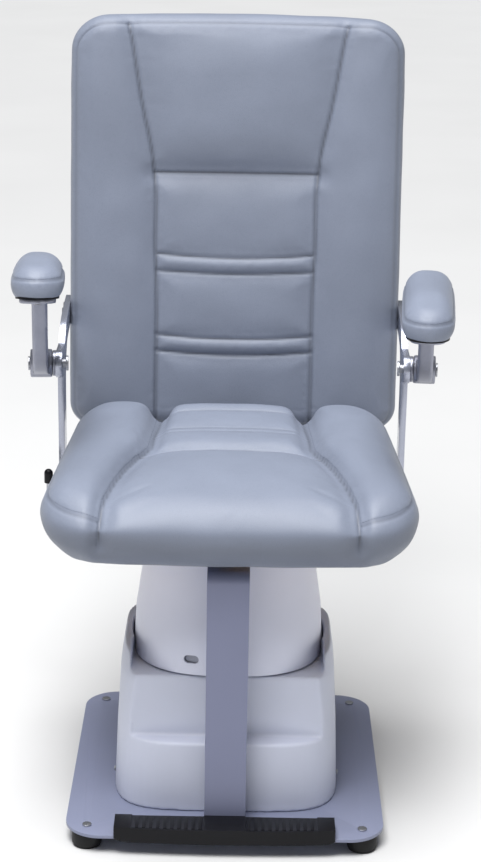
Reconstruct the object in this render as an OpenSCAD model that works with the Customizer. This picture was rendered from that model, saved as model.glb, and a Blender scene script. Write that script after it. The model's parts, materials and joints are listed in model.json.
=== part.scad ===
// Lifting and swivelling examination chair. +Z up, -Y is the side the sitter faces.
// The origin is on the floor, in the middle of the chair's plan box. The lift and
// swivel axis stands at [0, axis_y], and every length below is counted from it.

/* [Base] */
// Width of the base plate
plate_w = 480; // [430:1:560]
// Depth of the base plate
plate_d = 520; // [440:1:530]
// Thickness of the base plate
plate_t = 5; // [4:1:8]
// Corner radius of the base plate
plate_corner = 55; // [30:1:70]
// Height of the rubber feet
foot_h = 25; // [20:1:30]
// Diameter of the rubber feet
foot_d = 45; // [35:1:55]
// Distance from the plate's edges to a foot's centre
foot_inset = 33; // [26:1:40]

/* [Column] */
// Outside width of the fixed square tube
outer_tube_w = 124; // [110:1:140]
// Wall of both square tubes
tube_wall = 5; // [3:1:6]
// Thickness of the guide pads between the tubes
pad_t = 4; // [3:0.5:6]
// Length of the fixed square tube
outer_tube_h = 305; // [280:1:310]
// Travel of the lift
lift_travel = 200; // [120:1:200]
// Height of the carriage plate's underside above the floor, lift down
carriage_z = 418; // [390:1:510]
// Thickness of the carriage plate
carriage_t = 8; // [6:1:12]
// Diameter of the actuator's outer tube
actuator_d = 30; // [26:1:32]
// Diameter of the actuator's rod
rod_d = 18; // [14:1:20]

/* [Covers] */
// Wall of the plastic covers
cover_wall = 4; // [3:0.5:5]
// How far the lower housing's foot stands outside the upper cover's edge
housing_margin = 27; // [24:1:40]
// Height of the lower ledge above the floor
ledge_z = 142; // [120:1:160]
// Height of the upper ledge above the floor
shelf_z = 240; // [225:1:242]
// Depth of the lower ledge
ledge_d = 33; // [20:1:36]
// Height of the shoulders that stand round the upper cover
shoulder_z = 268; // [262:1:300]
// Half width of the upper cover at its lower edge
hood_half_w = 147; // [135:1:178]
// Half width of the upper cover at its top
hood_top_half_w = 131; // [120:1:150]

/* [Swivel] */
// Diameter of the swivel post
post_d = 60; // [50:1:70]
// Diameter of the circle the balls run on
ball_circle_d = 175; // [165:1:185]
// Diameter of a ball
ball_d = 8; // [6:1:9]
// Number of balls
ball_count = 30; // [16:1:40]
// Height of the turntable bearing
bearing_h = 15; // [14:1:18]
// Radial running clearance of every shaft in its hole
run_gap = 0.05; // [0.02:0.01:0.1]

/* [Footrest] */
// Width of the hanging bar
band_w = 62; // [50:1:80]
// Thickness of the hanging bar
band_t = 8; // [6:1:10]
// Distance from the base plate's front edge back to the bar's face
band_setback = 39; // [34:1:46]
// Width of the tread
tread_w = 330; // [260:1:350]
// Depth of the tread's top
tread_d = 50; // [46:1:60]
// Height of the tread's top above the floor
tread_z = 46; // [44:1:60]
// Thickness of the tread
tread_t = 6; // [5:1:8]
// Pitch of the ribs across the tread
rib_pitch = 10.5; // [9:0.5:14]

/* [Seat] */
// Width of the seat cushion
seat_w = 554; // [530:1:660]
// Depth from the axis to the seat's front
seat_front = 255; // [225:1:280]
// Depth from the axis to the seat's back
seat_rear = 250; // [240:1:252]
// Thickness of the seat cushion
seat_t = 110; // [90:1:125]
// Thickness of the plywood seat board
board_t = 12; // [9:1:18]

/* [Back] */
// Width of the back cushion
back_w = 538; // [440:1:640]
// Length of the back cushion along its own slope
back_len = 676; // [560:1:760]
// Thickness of the back cushion with its rear cover
back_t = 100; // [80:1:120]
// Corner radius of the back's outline
back_corner = 56; // [30:1:80]
// Lean of the back from upright
back_lean = 8; // [4:0.5:14]
// Height of the back's lower end above the seat board
back_rise = 59; // [40:1:75]

/* [Arms] */
// Gap between the back's side and a side bar
side_bar_gap = 1.5; // [1:0.5:8]
// Thickness of a side bar
side_bar_t = 10; // [8:1:14]
// Depth from the axis to the arm pivots
pivot_y = 158; // [140:1:175]
// Height of the arm pivots above the seat board
pivot_rise = 196; // [160:1:230]
// Distance from a side bar's outer face to the middle of its arm
arm_offset = 24.5; // [24:0.5:32]
// Angle by which the arms point inwards
toe_in = 4.5; // [0:0.5:5]
// Angle by which the left arm stands raised
left_raise = 9.5; // [0:0.5:20]
// Diameter of the arm hubs
hub_d = 45; // [36:1:52]
// Diameter of the pivot pins
pin_d = 14; // [10:1:18]
// Length of an arm pad
pad_len = 270; // [220:1:320]
// Width of an arm pad
arm_pad_w = 76; // [60:1:80]
// Thickness of an arm pad
arm_pad_t = 50; // [36:1:56]
// Height from a pivot to the underside of its pad
pad_rise = 124; // [110:1:140]
// Distance from a pivot forward to the back end of its pad
pad_back = 43; // [36:1:70]

/* [Hidden] */
$fn = 48;

// Colours
plate_colour = [0.53, 0.56, 0.67];
band_colour = [0.50, 0.51, 0.62];
shell_colour = [0.86, 0.87, 0.91];
leather_colour = [0.56, 0.60, 0.67];
silver_colour = [0.73, 0.74, 0.78];
steel_colour = [0.62, 0.63, 0.66];
black_colour = [0.14, 0.14, 0.16];
wood_colour = [0.76, 0.62, 0.44];

// Clearances
slide_gap = 0.3;
hole_gap = 0.25;
soft_gap = 1;
pocket_gap = 0.3;

// Heights
plate_z = foot_h;
floor_z = plate_z + plate_t;
carriage_top = carriage_z + carriage_t;
seat_plate_t = 5;
seat_plate_z = carriage_top + bearing_h;
board_z = seat_plate_z + seat_plate_t;
race_t = (bearing_h - 2) / 2;
back_z = board_z + back_rise;
pivot_z = board_z + pivot_rise;

// Widths and depths that follow others
housing_half_w = hood_half_w + housing_margin;
housing_front = hood_half_w + 31;
housing_rear = hood_half_w + 39;
band_front = max(plate_d / 2 - band_setback, housing_front + 40);
side_bar_x = back_w / 2 + side_bar_gap;
seat_back_w = 2 * side_bar_x - 13;
arm_x = side_bar_x + side_bar_t + arm_offset;

// Tubes
inner_tube_w = outer_tube_w - 2 * tube_wall - 2 * pad_t;
inner_foot_z = floor_z + 12;
flange_t = 8;
flange_w = outer_tube_w + 50;

// Back: its own frame has x across, y to the rear and z along the slope
back_foot_y = seat_rear + soft_gap + 5;
back_board_t = 10;
back_cover_t = 20;
back_pad_t = back_t - back_cover_t;
back_board_inset = 20;
bar_top_z = board_z + 240;
bar_r = 18;
upright_t = 6;
upright_cover = 4;
upright_depth = 26;
upright_len = 260;

// Plan box, and the place of the lift and swivel axis in it
tread_front = band_front - band_t + tread_d + 5;
rear_y = back_foot_y + back_len * sin(back_lean) + back_t * cos(back_lean);
axis_y = (tread_front - rear_y) / 2;

// Lever of the swivel brake: a radial line under the seat
lever_azimuth = 24.6;
lever_pivot_r = 250;
lever_pivot_z = board_z - 11;
lever_arm = 8.5;
brake_rod_d = 4;
brake_z = lever_pivot_z + lever_arm;
knob_r = 322;
knob_z = board_z + 18;
knob_d = 14;

// Screws and bolts
m4 = 4;
m5 = 5;
m8 = 8;
m10 = 10;

module on_axis() {
    translate([0, axis_y, 0])
        children();
}

// A hexagon or round head with its shank below it, head standing on z = 0
module bolt(d, len, head_d, head_h, sides) {
    translate([0, 0, -len])
        cylinder(d = d, h = len + head_h / 2, $fn = 24);
    cylinder(d = head_d, h = head_h, $fn = sides);
}

module rounded_rect(w, d, r) {
    square([w - 2 * r, d], center = true);
    square([w, d - 2 * r], center = true);
    for (x = [-1, 1], y = [-1, 1])
        translate([x * (w / 2 - r), y * (d / 2 - r)])
            circle(r);
}

// Copies of the children at the four corners of a rectangle
module four(x, y) {
    for (i = [-1, 1], j = [-1, 1])
        translate([i * x, j * y, 0])
            children();
}

module mirrored(side) {
    mirror([side < 0 ? 1 : 0, 0, 0])
        children();
}

// A flat bar along a line of points in the plane, with round corners and ends
module bar_2d(points, r) {
    for (i = [0 : len(points) - 2]) {
        run = points[i + 1] - points[i];
        translate(points[i])
            rotate(atan2(run[1], run[0]))
                translate([0, -r])
                    square([norm(run), 2 * r]);
    }
    for (p = points)
        translate(p)
            circle(r);
}

// A smooth line through control points, with steps points for each stretch
function spline(p, steps) = concat([
    for (i = [0 : len(p) - 2], k = [0 : steps - 1])
        let (
            t = k / steps, a = p[max(i - 1, 0)], b = p[i], c = p[i + 1],
            d = p[min(i + 2, len(p) - 1)]
        )
            0.5 * (2 * b + (c - a) * t + (2 * a - 5 * b + 4 * c - d) * t * t
                + (3 * b - a - 3 * c + d) * t * t * t)
], [p[len(p) - 1]]);

// Outline of a strip with round ends along a line of [u, v, half width] points
cap_steps = 16;
function flat_of(p) = [p[0], p[1]];
function direction(p, i) =
    let (run = flat_of(p[min(i + 1, len(p) - 1)]) - flat_of(p[max(i - 1, 0)]))
        run / norm(run);
function left_of(d) = [-d[1], d[0]];
function strip_side(p, i, side) = flat_of(p[i]) + side * p[i][2] * left_of(direction(p, i));
function strip_cap(p, i, side) = [
    for (k = [1 : cap_steps - 1])
        let (d = direction(p, i), t = 180 * k / cap_steps)
            flat_of(p[i]) + side * p[i][2] * (cos(t) * left_of(d) + sin(t) * d)
];
function strip_outline(p) = concat(
    [for (i = [0 : len(p) - 1]) strip_side(p, i, 1)],
    strip_cap(p, len(p) - 1, 1),
    [for (i = [len(p) - 1 : -1 : 0]) strip_side(p, i, -1)],
    strip_cap(p, 0, -1)
);

// One ring of a loft: half width a, front depth f, rear depth b, squareness n
ring_steps = 56;
function power_of(v, n) = sign(v) * pow(abs(v), 2 / n);
function ring(z, a, f, b, n) = [
    for (i = [0 : ring_steps - 1])
        let (t = 360 * i / ring_steps, s = power_of(sin(t), n))
            [a * power_of(cos(t), n), s < 0 ? f * s : b * s, z]
];

// A closed solid through rings that follow each other upwards
module loft(rings) {
    m = ring_steps;
    last = len(rings) - 1;
    polyhedron(
        points = [for (r = rings) each r],
        faces = [
            [for (i = [0 : m - 1]) i],
            for (k = [0 : last - 1], i = [0 : m - 1])
                [k * m + i, (k + 1) * m + i, (k + 1) * m + (i + 1) % m, k * m + (i + 1) % m],
            [for (i = [m - 1 : -1 : 0]) last * m + i]
        ]
    );
}

// ---------------------------------------------------------------- base

module foot_places() {
    four(plate_w / 2 - foot_inset, plate_d / 2 - foot_inset)
        children();
}

module column_bolt_places() {
    four(flange_w / 2 - 12, flange_w / 2 - 12)
        children();
}

module base_plate() {
    color(plate_colour) on_axis() difference() {
        translate([0, 0, plate_z])
            linear_extrude(plate_t)
                rounded_rect(plate_w, plate_d, plate_corner);
        foot_places()
            translate([0, 0, plate_z - 1])
                cylinder(d = m8 + 2 * hole_gap, h = plate_t + 2);
        column_bolt_places()
            translate([0, 0, plate_z - 1])
                cylinder(d = m10 + 2 * hole_gap, h = plate_t + 2);
    }
}

module rubber_feet() {
    color(black_colour) on_axis() foot_places() difference() {
        union() {
            cylinder(d = foot_d - 4, h = 4);
            translate([0, 0, 4])
                cylinder(d = foot_d, h = plate_z - 4);
        }
        translate([0, 0, 8])
            cylinder(d = m8 + 2 * hole_gap, h = plate_z);
    }
}

module foot_screws() {
    color(steel_colour) on_axis() foot_places()
        translate([0, 0, floor_z])
            bolt(m8, plate_t + 15, 14, 2.5, 24);
}

module outer_column() {
    color(plate_colour) on_axis() difference() {
        union() {
            translate([0, 0, floor_z])
                linear_extrude(flange_t)
                    rounded_rect(flange_w, flange_w, 12);
            translate([0, 0, floor_z])
                linear_extrude(outer_tube_h)
                    rounded_rect(outer_tube_w, outer_tube_w, 8);
        }
        bore_w = outer_tube_w - 2 * tube_wall;
        translate([0, 0, floor_z + flange_t])
            linear_extrude(outer_tube_h)
                square([bore_w, bore_w], center = true);
        column_bolt_places()
            translate([0, 0, floor_z - 1])
                cylinder(d = m10 + 2 * hole_gap, h = flange_t + 2);
    }
}

module column_bolts() {
    color(steel_colour) on_axis() column_bolt_places()
        translate([0, 0, floor_z + flange_t])
            bolt(m10, flange_t + plate_t + 4, 17, 6.5, 6);
}

// Four pads at the tube's mouth and four lower down, all in reach of the raised inner tube
guide_pad_h = 30;
module guide_pads() {
    color(shell_colour) on_axis()
        for (drop = [6, 55], a = [0 : 90 : 270])
            rotate(a)
                translate([
                    outer_tube_w / 2 - tube_wall - pad_t + slide_gap, -30,
                    floor_z + outer_tube_h - guide_pad_h - drop
                ])
                    cube([pad_t - slide_gap, 60, guide_pad_h]);
}

// Rings of the housing's outside, and of its inside where inset is the wall
function housing_rings(inset, z_low, z_high) = [
    housing_ring(z_low, inset, 0, 0, 0, 4.6),
    housing_ring(ledge_z, inset, 4, 2, 4, 4.4),
    housing_ring(shelf_z - 8, inset, 9, 4, 10, 4),
    housing_ring(shelf_z + 25, inset, 14, 10, 15, 3.6),
    housing_ring(z_high, inset, housing_half_w - hood_half_w - 9, 20, 24, 3.2)
];

// A ring that is narrower than the housing's foot by side, front and rear
function housing_ring(z, inset, side, front, rear, n) = ring(
    z, housing_half_w - side - inset, housing_front - front - inset,
    housing_rear - rear - inset, n
);

// The mouth that the upper cover stands in
module housing_mouth(gap) {
    translate([0, 0, shelf_z])
        loft([
            ring(0, hood_half_w + gap, hood_half_w + gap + 5, hood_half_w + gap + 5, 2.6),
            ring(80, hood_half_w + gap, hood_half_w + gap + 5, hood_half_w + gap + 5, 2.6)
        ]);
}

shoulder_slope = 27;
shoulder_fall = 9;
module housing_solid(inset) {
    step_half_w = 146;
    tier_front = housing_front - ledge_d;
    difference() {
        loft(housing_rings(inset, floor_z - (inset > 0 ? 1 : 0), shoulder_z - inset));
        // lower ledge and everything above it
        translate([-step_half_w - inset, -housing_front - 50, ledge_z - inset])
            cube([2 * (step_half_w + inset), 50 + ledge_d + inset, 200]);
        // upper ledge, open to the front
        translate([-step_half_w - inset, -housing_front - 50, shelf_z - inset])
            cube([2 * (step_half_w + inset), 50 + housing_front - 60 + inset, 200]);
        // shoulders fall again behind the axis
        translate([-250, 0, shoulder_z - inset])
            rotate([-shoulder_fall, 0, 0])
                cube([500, 300, 200]);
        // shoulders rise from the front corners to the back
        translate([-250, -housing_front + 12, shelf_z + 4 - inset])
            rotate([shoulder_slope, 0, 0])
                translate([0, -100, 0])
                    cube([500, 190, 200]);
    }
}

module lower_housing() {
    color(shell_colour) on_axis() difference() {
        housing_solid(0);
        difference() {
            housing_solid(cover_wall);
            translate([-200, -200, shelf_z - cover_wall])
                cube([400, 400, 200]);
        }
        housing_mouth(2);
        // opening for the fixed tube
        translate([0, 0, shelf_z - 10])
            linear_extrude(40)
                rounded_rect(outer_tube_w + 12, outer_tube_w + 12, 12);
        housing_screw_places()
            translate([0, 0, -cover_wall - 4])
                cylinder(d = m4 + 2 * hole_gap, h = 20, $fn = 24);
        inlet_place()
            translate([0, 0, -20])
                linear_extrude(40)
                    rounded_rect(30 + 2 * hole_gap, 22 + 2 * hole_gap, 3);
    }
}

// Screws through the housing's sides, close above the plate
module housing_screw_places() {
    for (side = [-1, 1], y = [-70, 110])
        translate([side * (housing_half_w - 1), y, floor_z + 18])
            rotate([0, side * 90, 0])
                children();
}

module housing_screws() {
    color(steel_colour) on_axis() housing_screw_places()
        bolt(m4, 10, 8, 2.2, 24);
}

// Actuator: gearbox with the motor beside the tube
actuator_x = 20;
actuator_foot_z = floor_z + flange_t;
gearbox_z = actuator_foot_z + 30;
gearbox_h = 34;
actuator_top_z = floor_z + lift_travel + 80;

module actuator_body() {
    color(steel_colour) on_axis() difference() {
        union() {
            translate([-44, -22, gearbox_z])
                cube([80, 44, gearbox_h]);
            translate([actuator_x, 0, gearbox_z])
                cylinder(d = actuator_d, h = actuator_top_z - gearbox_z);
            translate([actuator_x - 7, -10, actuator_foot_z + 2])
                cube([14, 20, 30]);
        }
        translate([actuator_x, 0, gearbox_z + 8])
            cylinder(d = rod_d + 2 * run_gap, h = actuator_top_z);
        translate([actuator_x - 20, 0, actuator_foot_z + 14])
            rotate([0, 90, 0])
                cylinder(d = m10, h = 40);
    }
}

module actuator_motor() {
    color(black_colour) on_axis()
        translate([-24, 0, gearbox_z + gearbox_h])
            difference() {
                cylinder(d = 38, h = 95);
                translate([0, 0, 90])
                    cylinder(d = 24, h = 10);
            }
}

// The pin and the two ears it stands in, bolted on the flange
module actuator_lower_pin() {
    color(steel_colour) on_axis() {
        for (side = [-1, 1])
            translate([actuator_x + side * 12 - 4, -12, actuator_foot_z])
                cube([8, 24, 26]);
        translate([actuator_x - 16, 0, actuator_foot_z + 14])
            rotate([0, 90, 0])
                cylinder(d = m10, h = 32);
    }
}

// Mains inlet in the housing's rear wall
inlet_z = floor_z + 40;
module inlet_place() {
    translate([90, housing_rear - 1.5, inlet_z])
        rotate([-90, 0, 0])
            children();
}

module power_inlet() {
    color(black_colour) on_axis()
            inlet_place()
                difference() {
                    union() {
                        linear_extrude(4)
                            rounded_rect(50, 30, 4);
                        translate([0, 0, -20])
                            linear_extrude(21)
                                rounded_rect(30, 22, 3);
                    }
                    translate([0, 0, -14])
                        linear_extrude(30)
                            rounded_rect(25, 17, 3);
                }
}

// ---------------------------------------------------------------- lift

module inner_column() {
    color(steel_colour) on_axis() difference() {
        translate([0, 0, inner_foot_z])
            linear_extrude(carriage_z - inner_foot_z)
                rounded_rect(inner_tube_w, inner_tube_w, 6);
        inside = inner_tube_w - 2 * tube_wall;
        translate([0, 0, inner_foot_z - 1])
            linear_extrude(carriage_z)
                square([inside, inside], center = true);
    }
}

carriage_w = 2 * hood_top_half_w - 6;
carriage_corner = 95;
cover_screw_x = hood_top_half_w - 35;
module carriage_plate() {
    color(plate_colour) on_axis() difference() {
        translate([0, 0, carriage_z])
            linear_extrude(carriage_t)
                rounded_rect(carriage_w, carriage_w, carriage_corner);
        four(cover_screw_x, cover_screw_x)
            translate([0, 0, carriage_z - 1])
                cylinder(d = m5 + 2 * hole_gap, h = carriage_t + 2, $fn = 24);
        post_bolt_places()
            translate([0, 0, carriage_z - 1])
                cylinder(d = m8 + 2 * hole_gap, h = carriage_t + 2);
        bracket_bolt_places()
            translate([0, 0, carriage_z - 1])
                cylinder(d = m8 + 2 * hole_gap, h = carriage_t + 2);
    }
}

// Rod with its upper eye, hung from two ears under the carriage plate
rod_eye_z = carriage_z - 18;
module actuator_rod() {
    color(silver_colour) on_axis() difference() {
        union() {
            translate([actuator_x, 0, gearbox_z + 12])
                cylinder(d = rod_d, h = rod_eye_z - gearbox_z - 24);
            translate([actuator_x - 7, -10, rod_eye_z - 12])
                cube([14, 20, 24]);
        }
        translate([actuator_x - 20, 0, rod_eye_z])
            rotate([0, 90, 0])
                cylinder(d = m10 + hole_gap, h = 40);
    }
}

module actuator_upper_pin() {
    color(steel_colour) on_axis() {
        for (side = [-1, 1])
            translate([actuator_x + side * 12 - 4, -12, rod_eye_z - 12])
                cube([8, 24, carriage_z - rod_eye_z + 12]);
        translate([actuator_x - 16, 0, rod_eye_z])
            rotate([0, 90, 0])
                cylinder(d = m10, h = 32);
    }
}

// Upper cover: a tapered tube that hangs under the carriage plate
hood_z = shelf_z + 3;
hood_h = carriage_z - hood_z;
function hood_rings(inset) = [
    ring(hood_z - inset, hood_half_w - inset, hood_half_w + 5 - inset, hood_half_w + 5 - inset, 2.6),
    ring(
        hood_z + 0.35 * hood_h,
        hood_half_w - 3 - inset, hood_half_w + 1 - inset, hood_half_w + 1 - inset, 2.7
    ),
    ring(
        hood_z + 0.7 * hood_h,
        hood_half_w - 12 - inset, hood_half_w - 9 - inset, hood_half_w - 9 - inset, 2.8
    ),
    ring(
        carriage_z + inset,
        hood_top_half_w - inset, hood_top_half_w + 2 - inset, hood_top_half_w + 2 - inset, 2.9
    )
];
plug_x = -52;
plug_z = hood_z + 24;

module plug_place() {
    translate([plug_x, -hood_half_w + 10, plug_z])
        rotate([90, 0, -18])
            children();
}

module upper_cover() {
    color(shell_colour) on_axis() difference() {
        union() {
            difference() {
                loft(hood_rings(0));
                loft(hood_rings(cover_wall));
            }
            four(cover_screw_x, cover_screw_x)
                translate([0, 0, carriage_z - 26])
                    cylinder(d = 16, h = 26, $fn = 24);
        }
        four(cover_screw_x, cover_screw_x)
            translate([0, 0, carriage_z - 20])
                cylinder(d = m5, h = 30, $fn = 24);
        plug_place()
            translate([0, 0, -20])
                linear_extrude(50)
                    bar_2d([[-5, 0], [5, 0]], 6.5);
    }
}

module cover_screws() {
    color(steel_colour) on_axis()
        four(cover_screw_x, cover_screw_x)
            translate([0, 0, carriage_top])
                bolt(m5, carriage_t + 14, 9, 3, 24);
}

// Oval plug that closes the access hole in the upper cover
module access_plug() {
    color(shell_colour) on_axis() plug_place()
        translate([0, 0, -4])
            linear_extrude(9)
                bar_2d([[-5, 0], [5, 0]], 6.5 - hole_gap);
}

module post_bolt_places() {
    for (a = [45 : 90 : 315])
        rotate(a)
            translate([post_d / 2 + 14, 0, 0])
                children();
}

// Flanged post that the seat turns on; its top is the brake drum
post_flange_t = 5;
module swivel_post() {
    color(steel_colour) on_axis() difference() {
        union() {
            translate([0, 0, carriage_top])
                cylinder(d = post_d + 44, h = post_flange_t);
            translate([0, 0, carriage_top])
                cylinder(d = post_d, h = board_z - carriage_top - 1);
        }
        post_bolt_places()
            translate([0, 0, carriage_top - 1])
                cylinder(d = m8 + 2 * hole_gap, h = 20);
    }
}

module post_bolts() {
    color(steel_colour) on_axis() post_bolt_places()
        translate([0, 0, carriage_top + post_flange_t])
            bolt(m8, post_flange_t + carriage_t + 6, 13, 4, 6);
}

race_w = 34;
module race() {
    difference() {
        rotate_extrude($fn = 96)
            translate([ball_circle_d / 2 - race_w / 2, 0])
                square([race_w, race_t]);
        translate([0, 0, bearing_h / 2])
            rotate_extrude($fn = 96)
                translate([ball_circle_d / 2, 0])
                    circle(d = ball_d + 2 * run_gap);
    }
}

module lower_race() {
    color(silver_colour) on_axis()
        translate([0, 0, carriage_top])
            race();
}

module upper_race() {
    color(silver_colour) on_axis()
        translate([0, 0, seat_plate_z])
            mirror([0, 0, 1])
                race();
}

module bearing_balls() {
    color(steel_colour) on_axis()
        for (i = [0 : ball_count - 1])
            rotate(360 * i / ball_count)
                translate([ball_circle_d / 2, 0, carriage_top + bearing_h / 2])
                    sphere(d = ball_d, $fn = 24);
}

// Footrest bracket: foot under the tread, hanging bar, bend, and tongue on the carriage
bracket_foot_z = tread_z - tread_t - 5;
band_bend = 16;
tongue_end = 108;
module bracket_bolt_places() {
    for (x = [-18, 18])
        translate([x, -tongue_end - 10, 0])
            children();
}

module footrest_bracket() {
    band_back = band_front - band_t;
    top = carriage_top + band_t;
    color(band_colour) on_axis() difference() {
        union() {
            translate([-band_w / 2, -band_front, bracket_foot_z])
                cube([band_w, band_t, top - band_bend - bracket_foot_z]);
            // bend, a quarter of a tube
            translate([-band_w / 2, -band_front + band_bend, top - band_bend])
                rotate([0, 90, 0])
                    intersection() {
                        difference() {
                            cylinder(r = band_bend, h = band_w);
                            translate([0, 0, -1])
                                cylinder(r = band_bend - band_t, h = band_w + 2);
                        }
                        translate([-band_bend, -band_bend, 0])
                            cube([band_bend, band_bend, band_w]);
                    }
            translate([-band_w / 2, -band_front + band_bend, carriage_top])
                cube([band_w, band_front - band_bend - tongue_end, band_t]);
            translate([-tread_w / 2 + 18, -tread_front + 9, bracket_foot_z])
                cube([tread_w - 36, tread_front - 9 - band_back, 5]);
        }
        bracket_bolt_places()
            translate([0, 0, carriage_top - 1])
                cylinder(d = m8 + 2 * hole_gap, h = band_t + 2);
        tread_screw_places()
            translate([0, 0, bracket_foot_z - 1])
                cylinder(d = m4 + 2 * hole_gap, h = 10, $fn = 24);
    }
}

module bracket_bolts() {
    color(steel_colour) on_axis() bracket_bolt_places()
        translate([0, 0, carriage_top + band_t])
            bolt(m8, band_t + carriage_t + 2, 13, 3, 24);
}

module tread_screw_places() {
    for (x = [-tread_w / 2 + 34, tread_w / 2 - 34])
        translate([x, -band_front - 22, 0])
            children();
}

module tread_screws() {
    color(steel_colour) on_axis() tread_screw_places()
        translate([0, 0, bracket_foot_z])
            mirror([0, 0, 1])
                bolt(m4, 9, 8, 2, 24);
}

// Black tread with a lip over the plate's edge and ribs from front to back
module footrest_tread() {
    lip_z = plate_z - 3;
    rib_h = 1.5;
    centre_w = band_w;
    end_w = 26;
    rib_span = (tread_w - centre_w) / 2 - end_w;
    ribs = floor(rib_span / rib_pitch);
    color(black_colour) on_axis() difference() {
        union() {
            translate([-tread_w / 2, -tread_front, tread_z - tread_t])
                cube([tread_w, tread_front - band_front, tread_t - rib_h]);
            for (x = [-tread_w / 2 + end_w / 2, 0, tread_w / 2 - end_w / 2])
                translate([x, -(tread_front + band_front) / 2, tread_z - tread_t / 2])
                    cube([x == 0 ? centre_w : end_w, tread_front - band_front, tread_t], center = true);
            for (side = [-1, 1], i = [0 : ribs - 1])
                translate([
                    side * (centre_w / 2 + (i + 0.5) * rib_pitch) - rib_pitch / 4,
                    -tread_front + 4, tread_z - tread_t
                ])
                    cube([rib_pitch / 2, tread_front - band_front - 8, tread_t]);
            translate([-tread_w / 2, -tread_front, lip_z])
                cube([tread_w, 5, tread_z - lip_z - 1]);
        }
        tread_screw_places()
            translate([0, 0, tread_z - tread_t - 1])
                cylinder(d = m4, h = 5, $fn = 24);
    }
}

// ---------------------------------------------------------------- seat

seat_plate_w = 300;
slot_w = 14;

module along_lever() {
    rotate(180 - lever_azimuth)
        children();
}

module seat_bolt_places() {
    four(seat_plate_w / 2 - 18, seat_plate_w / 2 - 18)
        children();
}

// Steel plate with the hub that turns on the post
module seat_plate() {
    color(plate_colour) on_axis() difference() {
        union() {
            translate([0, 0, seat_plate_z])
                linear_extrude(seat_plate_t)
                    rounded_rect(seat_plate_w, seat_plate_w, 30);
            translate([0, 0, carriage_top + post_flange_t + 5])
                cylinder(d = post_d + 22, h = seat_plate_z - carriage_top - post_flange_t - 4);
        }
        translate([0, 0, carriage_top])
            cylinder(d = post_d + 2 * run_gap, h = 40, $fn = 96);
        along_lever()
            translate([post_d / 2 - 6, -slot_w / 2, seat_plate_z - slide_gap])
                cube([seat_plate_w, slot_w, 10]);
        seat_bolt_places()
            translate([0, 0, seat_plate_z - 1])
                cylinder(d = m8 + 2 * hole_gap, h = 10);
    }
}

module seat_plate_bolts() {
    color(steel_colour) on_axis() seat_bolt_places()
        translate([0, 0, seat_plate_z])
            mirror([0, 0, 1])
                bolt(m8, seat_plate_t + board_t - 2, 14, 3.2, 24);
}

// Plan outline of the seat, smaller all round by inset
module seat_outline(inset, front_inset = 0) {
    front_r = 60;
    rear_r = 36;
    hull() {
        for (side = [-1, 1]) {
            translate([side * (seat_w / 2 - front_r - 10), -seat_front + front_r])
                circle(front_r - inset - front_inset, $fn = 32);
            translate([side * (seat_w / 2 - front_r), -20])
                circle(front_r - inset - front_inset / 2, $fn = 32);
            for (y = [pivot_y - 20, seat_rear - rear_r])
                translate([side * (seat_back_w / 2 - rear_r), y])
                    circle(rear_r - min(inset, rear_r - 1), $fn = 32);
        }
    }
}

board_inset = 20;
board_front_inset = 28;
module seat_board() {
    color(wood_colour) on_axis() difference() {
        translate([0, 0, board_z])
            linear_extrude(board_t)
                seat_outline(board_inset, board_front_inset);
        seat_bolt_places()
            translate([0, 0, board_z - 1])
                cylinder(d = m8, h = board_t + 2);
        bar_foot_bolt_places()
            translate([0, 0, board_z - 1])
                cylinder(d = m8, h = board_t + 2);
    }
}

module seat_cushion() {
    color(leather_colour) on_axis() difference() {
        translate([0, 0, board_z])
            linear_extrude(seat_t)
                seat_outline(0);
        translate([0, 0, board_z - 1])
            linear_extrude(board_t + 1 + pocket_gap)
                seat_outline(board_inset - pocket_gap, board_front_inset);
        // pad for the side bars' feet, let into the cushion's underside
        for (side = [-1, 1])
            translate([side * (bar_foot_x + 45) - 50, bar_foot_y - 34, board_z - 1])
                cube([100, 68, 1 + pocket_gap]);
    }
}

// The back's own frame, at the middle of its lower front edge
module in_back() {
    translate([0, back_foot_y, back_z])
        rotate([-back_lean, 0, 0])
            children();
}

// A slab with the back's outline: from y0, thickness t, smaller by inset
module back_slab(y0, t, inset) {
    translate([0, y0 + t, back_len / 2])
        rotate([90, 0, 0])
            linear_extrude(t)
                rounded_rect(back_w - 2 * inset, back_len - 2 * inset, back_corner - inset / 2);
}

module back_board() {
    color(wood_colour) on_axis() in_back()
        back_slab(back_pad_t, back_board_t, back_board_inset);
}

// Steel uprights inside the cushion, with tabs screwed to the board
module uprights_solid(grow) {
    x_out = back_w / 2 - upright_cover + grow;
    z_low = 60;
    for (side = [-1, 1])
        mirrored(side) {
            translate([x_out - upright_t - 2 * grow, upright_depth - grow, z_low - grow])
                cube([upright_t + 2 * grow, back_pad_t - upright_depth + grow, upright_len + 2 * grow]);
            translate([x_out - 60 - 2 * grow, back_pad_t - 5 - grow, z_low - grow])
                cube([58 + 2 * grow, 5 + grow, upright_len + 2 * grow]);
        }
}

module back_uprights() {
    color(steel_colour) on_axis() difference() {
        in_back()
            uprights_solid(0);
        back_bolt_places()
            translate([0, 0, -30])
                cylinder(d = m8 + hole_gap, h = 60);
    }
}

module back_cushion() {
    color(leather_colour) on_axis() difference() {
        in_back()
            difference() {
                back_slab(0, back_pad_t, 0);
                uprights_solid(pocket_gap);
            }
        back_bolt_places()
            translate([0, 0, -30])
                cylinder(d = m8 + 2 * hole_gap, h = 60);
    }
}

// Rear cover: a shallow tray over the board
module back_cover() {
    color(leather_colour) on_axis() in_back()
        difference() {
            back_slab(back_pad_t, back_cover_t, 0);
            back_slab(back_pad_t - 1, back_board_t + 1 + pocket_gap, back_board_inset - pocket_gap);
        }
}

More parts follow.
